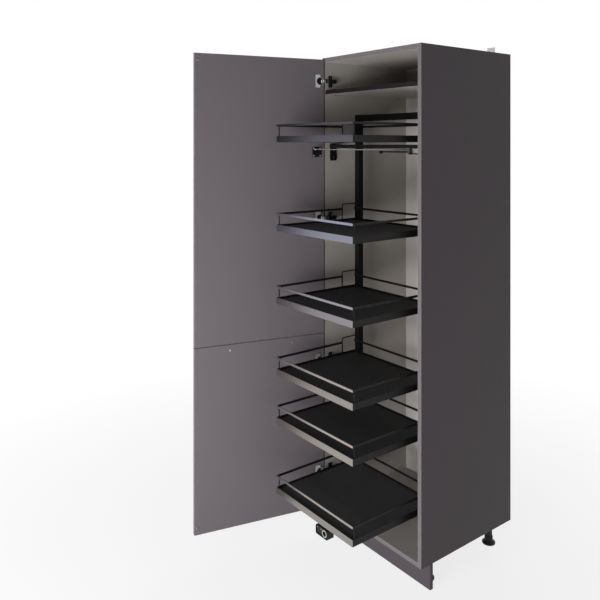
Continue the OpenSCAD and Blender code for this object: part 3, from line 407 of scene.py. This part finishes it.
def powder_coat(name, colour, roughness=0.42):
    """Fine-textured powder coat on steel."""
    material, shader, places = new_finish(name)
    pebbles = grain(places, COAT_PEBBLES)
    plug(shader, "Base Color", varied(places, colour, waves=14, drift=0.10))
    plug(shader, "Specular IOR Level", 0.12)
    plug(shader, "Roughness", roughness + pebbles * 0.14)
    plug(shader, "Normal", bumped(pebbles, PEBBLE_DEPTH, strength=0.6))
    return material


def bright_metal(name, colour, roughness):
    """Plated steel with fine streaks."""
    material, shader, places = new_finish(name)
    streaks = grain(places, METAL_STREAKS)
    plug(shader, "Base Color", varied(places, colour, waves=30, drift=0.06))
    plug(shader, "Metallic", 1.0)
    plug(shader, "Roughness", roughness + streaks * 0.16)
    plug(shader, "Normal", bumped(streaks, STREAK_DEPTH))
    return material


def moulded(name, colour, roughness=0.4):
    """Moulded plastic with a spark-eroded skin."""
    material, shader, places = new_finish(name)
    skin = grain(places, PLASTIC_SKIN)
    plug(shader, "Base Color", varied(places, colour, waves=20, drift=0.07))
    plug(shader, "Specular IOR Level", 0.25)
    plug(shader, "Roughness", roughness + skin * 0.15)
    plug(shader, "Normal", bumped(skin, SKIN_DEPTH))
    return material


def satin_front(name, lift=1.0):
    """Powder-coated tray metal whose front face is a satin metal strip, with a painted reflection
    by height, brighter by the lift.
    """
    material, shader, places = new_finish(name)
    at_front = along(places, 1) < TRAY_FRONT + STRIP_DEPTH
    rise = (along(places, 2) - STRIPS_LOW) / (STRIPS_HIGH - STRIPS_LOW)
    stops = [(place, shaded(colour, lift)) for place, colour in STRIP_REFLECTIONS]
    # The strip's colour by height is a painted reflection
    strip = rise.node("ValToRGB", {"stops": stops}, {0: rise})
    brushed = grain(places, STRIP_BRUSHING, stretch=BRUSH_STRETCH)
    pebbles = grain(places, COAT_PEBBLES)
    coat = varied(places, COAT_BLACK, waves=14, drift=0.1)
    roughness = 0.42 + pebbles * 0.14 - at_front * 0.20 + brushed * at_front * 0.08
    plug(shader, "Base Color", blended(at_front, coat, strip))
    plug(shader, "Specular IOR Level", 0.2)
    plug(shader, "Metallic", at_front)
    plug(shader, "Roughness", roughness)
    plug(shader, "Normal", bumped(pebbles * (1 - at_front) + brushed * at_front, BRUSH_DEPTH))
    return material


def hinge_metal(name):
    """Black inside the cabinet and satin nickel on the straps that reach into the cups."""
    material, shader, places = new_finish(name)
    strap = along(places, 1) < CARCASS_FRONT - STRAP_START
    streaks = grain(places, METAL_STREAKS)
    black = varied(places, HINGE_BLACK, waves=30, drift=0.1)
    plug(shader, "Base Color", blended(strap, black, NICKEL_SATIN))
    plug(shader, "Metallic", HINGE_SHEEN * strap)
    plug(shader, "Specular IOR Level", 0.25)
    plug(shader, "Roughness", 0.30 + streaks * 0.12)
    plug(shader, "Normal", bumped(streaks, STREAK_DEPTH))
    return material


def rod_metal(name):
    """Ground rod, bright but for the black clips on its eyes."""
    material, shader, places = new_finish(name)
    low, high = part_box("link_rod")
    clip = (along(places, 0) > high.x - LEVER_CLIP) + (along(places, 0) < low.x + DOOR_CLIP)
    ground = grain(places, ROD_GRINDING, stretch=GRIND_STRETCH)
    bright = varied(places, NICKEL, waves=30, drift=0.06)
    plug(shader, "Base Color", blended(clip, bright, MOULDED_BLACK))
    plug(shader, "Metallic", 1 - clip)
    plug(shader, "Roughness", 0.18 + ground * 0.14 + clip * 0.2)
    plug(shader, "Normal", bumped(ground, STREAK_DEPTH))
    return material


def cup_metal(name):
    """Bright nickel flange of the hinge cups, painted black down in the cup as shade."""
    material, shader, places = new_finish(name)
    inward = Vector((math.sin(DOOR_OPEN), math.cos(DOOR_OPEN), 0))
    leaf_face = inward.dot(middle_of("hinge_pins")) + PIN_DEPTH
    depth = places.node("VectorMath", {"operation": "DOT_PRODUCT"}, {0: places, 1: inward}, 1)
    # Down in the cup the nickel is painted black and non-metallic: painted shade
    cup_shade_mask = depth < leaf_face - FACE
    streaks = grain(places, METAL_STREAKS)
    bright = varied(places, NICKEL_SATIN, waves=30, drift=0.05)
    plug(shader, "Base Color", blended(cup_shade_mask, bright, HINGE_BLACK))
    plug(shader, "Metallic", HINGE_SHEEN * (1 - cup_shade_mask))
    plug(shader, "Specular IOR Level", 0.25)
    plug(shader, "Roughness", 0.30 + streaks * 0.14)
    plug(shader, "Normal", bumped(streaks, STREAK_DEPTH))
    return material


def ring_metal(name):
    """Nickel ring whose bore is painted black as shade."""
    material, shader, places = new_finish(name)
    # Behind the lip the ring's bore is painted black and non-metallic: painted shade
    bore = along(places, 1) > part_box("cap_ring")[0].y + RING_LIP
    bright = varied(places, NICKEL, waves=30, drift=0.06)
    plug(shader, "Base Color", blended(bore, bright, MOULDED_BLACK))
    plug(shader, "Metallic", 1 - bore)
    plug(shader, "Roughness", 0.18 + bore * 0.3 + grain(places, METAL_STREAKS) * 0.1)
    return material


def clear_rubber(name):
    """Clear soft buffer through which the lacquer shows."""
    material, shader, places = new_finish(name)
    plug(shader, "Base Color", varied(places, BUFFER_CLEAR, waves=40, drift=0.04))
    plug(shader, "Transmission Weight", 0.9)
    plug(shader, "Specular IOR Level", 0.3)
    plug(shader, "Roughness", 0.28 + grain(places, RUBBER_CLOUDS) * 0.1)
    return material


def facing_right(edge):
    """Mask of a board whose inside face is its right one."""
    return lambda places: along(places, 0) > edge


def facing_left(edge):
    """Mask of a board whose inside face is its left one."""
    return lambda places: along(places, 0) < edge


def behind(edge):
    """Mask of all that lies behind a board's front edge."""
    return lambda places: along(places, 1) > edge


def middle_of(node):
    """Middle of a CAD node's box."""
    low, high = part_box(node)
    return (low + high) / 2


def body_of(node):
    """The moving body that a CAD node belongs to."""
    return NODES[node].parent.name.split(":")[1]


def hinge_points():
    """Middles of the hinge pins, from the loose pins of their CAD node."""
    middle = middle_of("hinge_pins")
    ends = sorted({round(v.co.z, 4) for v in NODES["hinge_pins"].data.vertices})
    levels = [(low + high) / 2 for low, high in zip(ends[::2], ends[1::2])]
    return [Vector((middle.x, middle.y, level)) for level in levels]


# Masks of the boards' inside faces
LEFT_INSIDE = facing_right(-INNER_X - FACE)
RIGHT_INSIDE = facing_left(INNER_X + FACE)
BEHIND_BAND = behind(CARCASS_FRONT + EDGE_BAND)
BEHIND_SHELF_BAND = behind(SHELF_FRONT + EDGE_BAND)
BEHIND_FRONT = behind(CARCASS_FRONT)

FINISHES = {
    # The outer faces of the side, top, bottom and plinth boards take the shaded graphite, which is
    # painted shade
    "left": board_finish("left_board", SHADED_GRAPHITE, STONE_WHITE, LEFT_INSIDE, CARCASS_FRONT),
    "right": board_finish("right_board", SHADED_GRAPHITE, STONE_WHITE, RIGHT_INSIDE, CARCASS_FRONT),
    "inner": board_finish("inner_board", SHADED_GRAPHITE, STONE_WHITE, BEHIND_BAND, CARCASS_FRONT),
    # The shelf's front edge takes the near-black painted shade
    "shelf": board_finish("shelf_board", SHADED_SHELF_EDGE, STONE_WHITE, BEHIND_SHELF_BAND, gloss=0.12),
    "back": board_finish("back_board", STONE_WHITE, STONE_WHITE, BEHIND_FRONT),
    "plinth": board_finish("plinth_board", SHADED_GRAPHITE, SHADED_GRAPHITE, BEHIND_FRONT),
    "front": lacquer("front_lacquer", GRAPHITE),
    "coat": powder_coat("black_coat", COAT_BLACK),
    "tray_floor": powder_coat("tray_floor", TRAY_FLOOR, 0.5),
    "tray": satin_front("tray_metal"),
    "gallery": satin_front("gallery_metal", BAR_REFLECTION_LIFT),
    "zinc": bright_metal("zinc_plate", ZINC, 0.28),
    "rod": rod_metal("ground_rod"),
    "nickel": bright_metal("nickel_plate", NICKEL, 0.16),
    "screw_nickel": bright_metal("screw_nickel", NICKEL_SATIN, 0.30),
    "dull_zinc": bright_metal("dull_zinc", DULL_ZINC, 0.34),
    "hinge": hinge_metal("hinge_metal"),
    "cup": cup_metal("cup_nickel"),
    "ring": ring_metal("ring_nickel"),
    "moulded": moulded("black_plastic", MOULDED_BLACK),
    "roller": moulded("roller_plastic", ROLLER_WHITE, 0.3),
    "buffer": clear_rubber("clear_buffer"),
}

# CAD nodes whose sharp edges are eased, with the easing in metres and their finish
EASED = {
    "side_left": (0.0005, "left"),
    "side_right": (0.0005, "right"),
    "top_panel": (0.0005, "inner"),
    "bottom_panel": (0.0005, "inner"),
    "fixed_shelf": (0.0008, "shelf"),
    "back_panel": (0.0004, "back"),
    "plinth": (0.0008, "plinth"),
    "upper_door": (0.0006, "front"),
    "lower_door": (0.0006, "front"),
    "cross_rail": (0.0006, "coat"),
    "rail_brackets": (0.0005, "coat"),
    "arm_front": (0.0005, "coat"),
    "arm_rear": (0.0005, "coat"),
    "arm_bracket": (0.0005, "coat"),
    "left_column": (0.0004, "coat"),
    "right_column": (0.0004, "coat"),
    "top_crossbar": (0.0004, "coat"),
    "bottom_crossbar": (0.0004, "coat"),
    "runner_beam": (0.0004, "coat"),
    "runner_rail": (0.0004, "zinc"),
    "beam_cap": (0.0008, "moulded"),
    "handle": (0.0008, "coat"),
    "door_bracket": (0.0004, "coat"),
    "hinge_plates": (0.0004, "hinge"),
    "hinge_arms": (0.0003, "hinge"),
    "hinge_cups": (0.0003, "cup"),
    "wall_angles": (0.0004, "zinc"),
    "tray_boards": (0.0006, "tray_floor"),
    "leg_sockets": (0.0004, "moulded"),
    "plinth_clips": (0.0004, "moulded"),
    "shelf_pins": (0.0003, "nickel"),
    "link_rod": (0.0004, "rod"),
}
for n in TRAYS:
    EASED[f"tray_{n}"] = (0.0004, "tray")
    EASED[f"gallery_{n}"] = (0.0005, "gallery")

# CAD nodes that stay as they are, with their finish
KEPT = {
    "arm_pivot": "coat",
    "leaf_dowels": "coat",
    "hinge_pins": "nickel",
    "door_buffers": "buffer",
    "elbow_pin": "coat",
    "column_caps": "moulded",
    "cap_ring": "ring",
}

# CAD nodes whose screws are modelled anew, with their finish
SCREWS = {
    "carcass_screws": "dull_zinc",
    "door_screws": "screw_nickel",
    "handle_screws": "screw_nickel",
    "frame_screws": "zinc",
}


def select_only(*objects):
    """Selects these objects alone and makes the first one active."""
    bpy.ops.object.select_all(action="DESELECT")
    for item in objects:
        item.select_set(True)
    bpy.context.view_layer.objects.active = objects[0]


def wear(piece, finish):
    """Gives the piece one finish all over."""
    piece.data.materials.clear()
    piece.data.materials.append(FINISHES[finish])


def apply_all(piece):
    """Applies the piece's modifiers in their order."""
    select_only(piece)
    for modifier in list(piece.modifiers):
        bpy.ops.object.modifier_apply(modifier=modifier.name)


def settle(piece):
    """Puts a piece's place into its mesh, so that its object is at the origin, unturned."""
    bpy.context.view_layer.update()
    piece.data.transform(piece.matrix_world)
    piece.matrix_world = Matrix.Identity(4)
    return piece


def copy_of(model, name, place=Matrix.Identity(4)):
    """A copy with its own mesh, moved by a matrix."""
    copy = bpy.data.objects.new(name, model.data.copy())
    bpy.context.scene.collection.objects.link(copy)
    copy.data.transform(place)
    return copy


def joined(pieces, name):
    """Joins the pieces into the first one, under one name."""
    select_only(*pieces)
    bpy.ops.object.join()
    pieces[0].name = name
    return pieces[0]


def placed_copies(model, places, name):
    """One joined piece with a copy of the model moved to each place. The model goes."""
    copies = [copy_of(model, name, Matrix.Translation(place)) for place in places]
    bpy.data.objects.remove(model)
    return joined(copies, name)


def leave_edit():
    """Goes back to object mode."""
    bpy.ops.object.mode_set(mode="OBJECT")


def merged_copy(node, name):
    """A copy of a CAD node's mesh with its triangles joined and its flat faces whole."""
    piece = copy_of(NODES[node], name)
    select_only(piece)
    bpy.ops.mesh.customdata_custom_splitnormals_clear()
    bpy.ops.object.mode_set(mode="EDIT")
    bpy.ops.mesh.select_all(action="SELECT")
    bpy.ops.mesh.remove_doubles(threshold=SAME_POINT)
    bpy.ops.mesh.dissolve_limited(angle_limit=math.radians(PLANE_ANGLE))
    leave_edit()
    return piece


def smooth(piece):
    """Smooth shading that keeps the large faces flat."""
    select_only(piece)
    bpy.ops.object.shade_smooth_by_angle(angle=math.radians(SHARP_ANGLE))
    weighted = piece.modifiers.new("weighted", "WEIGHTED_NORMAL")
    weighted.keep_sharp = True
    weighted.weight = 100
    apply_all(piece)


def ease_edges(piece, width, angle=EASED_ANGLE):
    """Rounds every edge sharper than the angle, and smooths the piece."""
    bevel = piece.modifiers.new("eased", "BEVEL")
    bevel.width = width
    bevel.segments = 2
    bevel.angle_limit = math.radians(angle)
    bevel.use_clamp_overlap = True
    apply_all(piece)
    smooth(piece)


def cut_away(piece, tool):
    """Cuts the tool's shape out of the piece. The tool goes."""
    cut = piece.modifiers.new("cut", "BOOLEAN")
    cut.object = tool
    cut.operation = "DIFFERENCE"
    apply_all(piece)
    bpy.data.objects.remove(tool)


def add_cylinder(radius, length, sides, middle=(0, 0, 0), tilt=(0, 0, 0)):
    """A cylinder along Z, or tilted from it by degrees about each axis."""
    turn = [math.radians(angle) for angle in tilt]
    bpy.ops.mesh.primitive_cylinder_add(
        vertices=sides, radius=radius, depth=length, location=middle, rotation=turn
    )
    return settle(bpy.context.active_object)


def add_block(size, middle=(0, 0, 0), turn=0):
    """A block of this size, turned about Z by degrees."""
    bpy.ops.mesh.primitive_cube_add(size=1, location=middle, rotation=(0, 0, math.radians(turn)))
    block = bpy.context.active_object
    block.scale = size
    return settle(block)


def take_faces(piece, test):
    """Enters edit mode with just the faces selected that pass the test."""
    select_only(piece)
    bpy.ops.object.mode_set(mode="EDIT")
    bpy.ops.mesh.select_mode(type="FACE")
    bpy.ops.mesh.select_all(action="DESELECT")
    leave_edit()
    for face in piece.data.polygons:
        face.select = test(face)
    bpy.ops.object.mode_set(mode="EDIT")


def take_end(piece, axis=2, side=1):
    """Enters edit mode with the end faces selected that look along an axis, or against it."""
    take_faces(piece, lambda face: face.normal[axis] * side > END_FACE)


def take_every_other_side(piece):
    """Enters edit mode with every other one of the upright side faces selected."""
    sides = [face.index for face in piece.data.polygons if abs(face.normal.z) < END_FACE]
    take_faces(piece, lambda face: face.index in sides[::2])


def take_edges(piece, test):
    """Enters edit mode with just the edges selected whose two ends pass the test."""
    take_faces(piece, lambda face: False)
    bpy.ops.mesh.select_mode(type="EDGE")
    leave_edit()
    for edge in piece.data.edges:
        edge.select = test(*[piece.data.vertices[i].co for i in edge.vertices])
    bpy.ops.object.mode_set(mode="EDIT")


def build_up(radius, level, steps):
    """Grows the selected round end at a level through steps of a rise and a new radius."""
    for rise, new_radius in steps:
        share = new_radius / radius
        radius, level = new_radius, level + rise
        bpy.ops.mesh.extrude_region_move(TRANSFORM_OT_translate={"value": (0, 0, rise)})
        bpy.ops.transform.resize(value=(share, share, 1), center_override=(0, 0, level))
    leave_edit()


def make_eased(node, width, finish):
    """A CAD node's shape with eased edges and its finish."""
    piece = merged_copy(node, node + "_eased")
    ease_edges(piece, width)
    wear(piece, finish)
    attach(piece, body_of(node))
    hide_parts(node)


def finish_kept(node, finish):
    """A finish on a CAD node that stays as it is."""
    for slot in NODES[node].material_slots:
        slot.material = FINISHES[finish]


def model_collar():
    """Bush at the foot of a gallery post."""
    collar = add_cylinder(COLLAR_R, COLLAR_H, sides=24, middle=(0, 0, COLLAR_H / 2))
    take_end(collar)
    build_up(COLLAR_R, COLLAR_H, [(COLLAR_RISE, COLLAR_TOP)])
    ease_edges(collar, COLLAR_EASE, angle=20)
    return collar


def make_collars(n):
    """The bushes of one tray's posts and hangers."""
    low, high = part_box(f"gallery_{n}")
    board_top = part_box(f"tray_{n}")[0].z + RIM_T + TRAY_BOARD_T
    xs = (low.x + POST_INSET, high.x - POST_INSET)
    ys = (TRAY_FRONT + POST_SETBACK, TRAY_REAR - HANGER_REACH)
    places = [(x, y, board_top) for x in xs for y in ys]
    collars = placed_copies(model_collar(), places, f"post_collars_{n}")
    wear(collars, "coat")
    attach(collars, "tray_frame")


def model_roller(radius):
    """A roller along X with dished sides and a hub."""
    roller = add_cylinder(radius, ROLLER_W, sides=40, tilt=(0, 90, 0))
    for side in (-1, 1):
        dish = (-side * ROLLER_W * DISH_DEPTH, 0, 0)
        hub = (side * ROLLER_W * HUB_RISE, 0, 0)
        take_end(roller, axis=0, side=side)
        bpy.ops.mesh.inset(thickness=radius * TREAD)
        bpy.ops.mesh.extrude_region_move(TRANSFORM_OT_translate={"value": dish})
        bpy.ops.mesh.inset(thickness=radius * DISH)
        bpy.ops.mesh.extrude_region_move(TRANSFORM_OT_translate={"value": hub})
        leave_edit()
    ease_edges(roller, ROLLER_EASE, angle=30)
    return roller


def make_rollers(node):
    """A pair of rollers in place of its CAD node."""
    low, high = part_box(node)
    middle = middle_of(node)
    xs = (low.x + ROLLER_W / 2, high.x - ROLLER_W / 2)
    places = [(x, middle.y, middle.z) for x in xs]
    rollers = placed_copies(model_roller((high.z - low.z) / 2), places, node + "_turned")
    wear(rollers, "roller")
    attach(rollers, body_of(node))
    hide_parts(node)


def model_grip():
    """Ribbed collar by which a foot is turned."""
    grip = add_cylinder(GRIP_R, GRIP_H, sides=48, middle=(0, 0, GRIP_LEVEL))
    take_every_other_side(grip)
    bpy.ops.mesh.inset(thickness=RIB_GAP, depth=RIB_RISE, use_individual=True)
    leave_edit()
    smooth(grip)
    return grip


def model_foot(height):
    """Adjustable foot: stepped base, stem and grip."""
    foot = add_cylinder(FOOT_R, FOOT_BASE, sides=48, middle=(0, 0, FOOT_BASE / 2))
    stem_length = height - FOOT_BASE - NECK_RISE - STEM_RISE
    take_end(foot)
    build_up(FOOT_R, FOOT_BASE, [
        (0.0, FOOT_SHOULDER),
        (NECK_RISE, FOOT_NECK),
        (STEM_RISE, LEG_R),
        (stem_length, LEG_R),
        (0.0, LEG_TOP),
    ])
    ease_edges(foot, FOOT_EASE, angle=25)
    return joined([foot, model_grip()], "foot")


def make_feet():
    """The four feet in place of their CAD node."""
    low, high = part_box("leg_feet")
    xs = (low.x + FOOT_R, high.x - FOOT_R)
    ys = (low.y + FOOT_R, high.y - FOOT_R)
    places = [(x, y, 0) for x in xs for y in ys]
    feet = placed_copies(model_foot(high.z), places, "leg_feet_gripped")
    wear(feet, "moulded")
    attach(feet, "carcass")
    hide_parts("leg_feet")


def make_strap_rivets():
    """Domed rivet head on top of each hinge strap."""
    rivet = add_cylinder(RIVET_R, RIVET_H, sides=20, middle=(0, 0, RIVET_H / 2))
    take_end(rivet)
    build_up(RIVET_R, RIVET_H, [(RIVET_RISE, RIVET_TOP)])
    ease_edges(rivet, RIVET_EASE, angle=20)
    places = [point + Vector((0, 0, STRAP_H / 2)) for point in hinge_points()]
    rivets = placed_copies(rivet, places, "strap_rivets")
    wear(rivets, "nickel")
    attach(rivets, "door")


def drill(piece, radius, place):
    """Bores through the piece along Y."""
    cut_away(piece, add_cylinder(radius, DRILL_L, sides=64, middle=place, tilt=(90, 0, 0)))


def model_cup_flange():
    """Pressed plate round the far half of a hinge cup, with the door's edge along Z."""
    inner, outer = CUP_CENTRE - FLANGE_IN, CUP_CENTRE + FLANGE_OUT
    plate = add_block((outer - inner, FLANGE_T, FLANGE_H), ((inner + outer) / 2, FLANGE_T / 2, 0))
    take_edges(plate, lambda a, b: abs(a.x - b.x) + abs(a.z - b.z) < SAME_POINT)
    bpy.ops.mesh.bevel(offset=FLANGE_CORNER, segments=4, affect="EDGES")
    leave_edit()
    drill(plate, CUP_BORE, (CUP_CENTRE, 0, 0))
    for side in (-1, 1):
        drill(plate, CUP_SCREW_R, (CUP_CENTRE + CUP_SCREW_IN, 0, side * CUP_SCREW_OUT))
    ease_edges(plate, FLANGE_EASE)
    return plate


def make_cup_flanges():
    """The plates of the five hinge cups, turned with the open door."""
    plate = model_cup_flange()
    from_pin = Matrix.Translation((-PIN_INSET, PIN_DEPTH, 0))
    plate.data.transform(Matrix.Rotation(-DOOR_OPEN, 4, "Z") @ from_pin)
    flanges = placed_copies(plate, hinge_points(), "cup_flanges")
    wear(flanges, "cup")
    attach(flanges, "door")


def make_hinge_barrels():
    """Bright barrel of each hinge's inner link, at the strap's corner."""
    barrel = add_cylinder(BARREL_R, BARREL_H, sides=32)
    for side in (-1, 1):
        take_end(barrel, side=side)
        build_up(BARREL_R, side * BARREL_H / 2, [(side * BARREL_RISE, BARREL_TOP)])
    ease_edges(barrel, BARREL_EASE, angle=20)
    places = [point + BARREL_PLACE for point in hinge_points()]
    barrels = placed_copies(barrel, places, "hinge_barrels")
    wear(barrels, "nickel")
    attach(barrels, "carcass")


def model_screw(head_r, shank_r, length):
    """A screw with a domed head and a cross recess. Its head ends at the origin and looks up."""
    head_h = head_r * HEAD_RISE
    recess_arm = (head_r * RECESS_L, head_r * RECESS_W, head_h * RECESS_D)
    screw = add_cylinder(shank_r, length - head_h, sides=24, middle=(0, 0, -(length + head_h) / 2))
    take_end(screw)
    build_up(shank_r, -head_h, [(head_h * rise, head_r * share) for rise, share in DOME])
    for turn in (0, 90):
        cut_away(screw, add_block(recess_arm, turn=turn))
    smooth(screw)
    return screw


def screw_places(node):
    """Head point, direction and sizes of each loose screw in a CAD node."""
    loose = merged_copy(node, node + "_loose")
    select_only(loose)
    bpy.ops.mesh.separate(type="LOOSE")
    found = []
    for part in list(bpy.context.selected_objects):
        points = np.array([v.co for v in part.data.vertices])
        middle = points.mean(0)
        axis = np.linalg.svd(points - middle)[2][0]
        height = (points - middle) @ axis
        radius = np.linalg.norm(points - middle - np.outer(height, axis), axis=1)
        if height[radius.argmax()] < (height.max() + height.min()) / 2:
            axis, height = -axis, -height
        head = middle + axis * height.max()
        shank_r = radius[height < height.min() + TIP].max()
        sizes = [round(size, 5) for size in (radius.max(), shank_r, height.max() - height.min())]
        found.append((Vector(head), Vector(axis), sizes))
        bpy.data.objects.remove(part)
    return found


def make_screws(node, finish):
    """One piece with a modelled screw at each place of the CAD node's screws."""
    models = {}
    copies = []
    for head, axis, (head_r, shank_r, length) in screw_places(node):
        sizes = (head_r * HEAD_FIT, shank_r, length)
        if sizes not in models:
            models[sizes] = model_screw(*sizes)
        place = Matrix.Translation(head) @ axis.to_track_quat("Z", "Y").to_matrix().to_4x4()
        copies.append(copy_of(models[sizes], node + "_copy", place))
    for model in models.values():
        bpy.data.objects.remove(model)
    screws = joined(copies, node + "_crossed")
    wear(screws, finish)
    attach(screws, body_of(node))
    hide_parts(node)


def seen_rays(tree):
    """1 for what the eye, the metal and the clear parts see, and 0 for the light on the object."""
    rays = tree.nodes.new("ShaderNodeLightPath")
    seen = ("Is Camera Ray", "Is Glossy Ray", "Is Transmission Ray")
    straight, glossy, clear = [Wire(rays.outputs[name]) for name in seen]
    return straight + glossy + clear


def make_floor():
    """Pale floor that keeps the object's shadow near it and is white further out."""
    bpy.ops.mesh.primitive_circle_add(
        vertices=64, radius=FLOOR_RADIUS, fill_type="NGON", location=(0, 0, 0)
    )
    floor = bpy.context.active_object
    floor.name = "floor"
    material, shader, places = new_finish("pale_floor")
    tree = material.node_tree
    plug(shader, "Base Color", as_colour(FLOOR_PALE))
    plug(shader, "Roughness", 0.8)
    distance = places.node("VectorMath", {"operation": "LENGTH"}, {0: places}, 1)
    near, wide = FLOOR_FADE
    reach = {"Value": distance, "From Min": near, "From Max": wide, "To Min": FLOOR_GLOW}
    far = distance.node("MapRange", None, reach)
    white = places.node("Emission", None, {"Color": (1, 1, 1, 1), "Strength": 1.0})
    shown = seen_rays(tree) * far
    mixed = places.node("MixShader", None, {0: shown, 1: Wire(shader.outputs[0]), 2: white})
    tree.links.new(mixed.socket, tree.nodes["Material Output"].inputs["Surface"])
    floor.data.materials.append(material)


def make_world():
    """White for what the eye and the metal see, and a plain grey light on everything."""
    world = bpy.data.worlds.new("studio")
    bpy.context.scene.world = world
    world.use_nodes = True
    tree = world.node_tree
    tree.nodes.clear()
    seen = seen_rays(tree)
    ambient = seen.node("Background", None, {"Color": (1, 1, 1, 1), "Strength": AMBIENT})
    white = seen.node("Background", None, {"Color": (1, 1, 1, 1), "Strength": 1.0})
    mixed = seen.node("MixShader", None, {0: seen, 1: ambient, 2: white})
    out = tree.nodes.new("ShaderNodeOutputWorld")
    tree.links.new(mixed.socket, out.inputs["Surface"])


def make_softbox(name, place, size, watts):
    """Square light that the satin metal doesn't mirror as a white patch."""
    bpy.ops.object.light_add(type="AREA", location=place)
    lamp = bpy.context.active_object
    lamp.name = name
    lamp.data.shape = "SQUARE"
    lamp.data.size = size
    lamp.data.energy = watts
    lamp.visible_glossy = False
    lamp.rotation_euler = (Vector(LIGHT_AIM) - Vector(place)).to_track_quat("-Z", "Y").to_euler()


def make_camera():
    """Level camera at eye height, shifted down so that upright lines stay upright."""
    turn = (math.radians(90), 0, math.radians(CAMERA_TURN))
    bpy.ops.object.camera_add(location=CAMERA_PLACE, rotation=turn)
    camera = bpy.context.active_object
    camera.data.lens = CAMERA_LENS
    camera.data.sensor_width = FILM_WIDTH
    camera.data.shift_y = CAMERA_SHIFT
    bpy.context.scene.camera = camera


# The cabinet
for node, (width, finish) in EASED.items():
    make_eased(node, width, finish)
for node, finish in KEPT.items():
    finish_kept(node, finish)
for n in TRAYS:
    make_collars(n)
make_rollers("front_rollers")
make_rollers("rear_rollers")
make_feet()
make_strap_rivets()
make_cup_flanges()
make_hinge_barrels()
for node, finish in SCREWS.items():
    make_screws(node, finish)

# The studio round it
make_floor()
make_world()
make_softbox("key", KEY_PLACE, KEY_SIZE, KEY_WATTS)
make_softbox("back_fill", FILL_PLACE, FILL_SIZE, FILL_WATTS)
make_camera()
bpy.context.scene.view_settings.view_transform = "Standard"
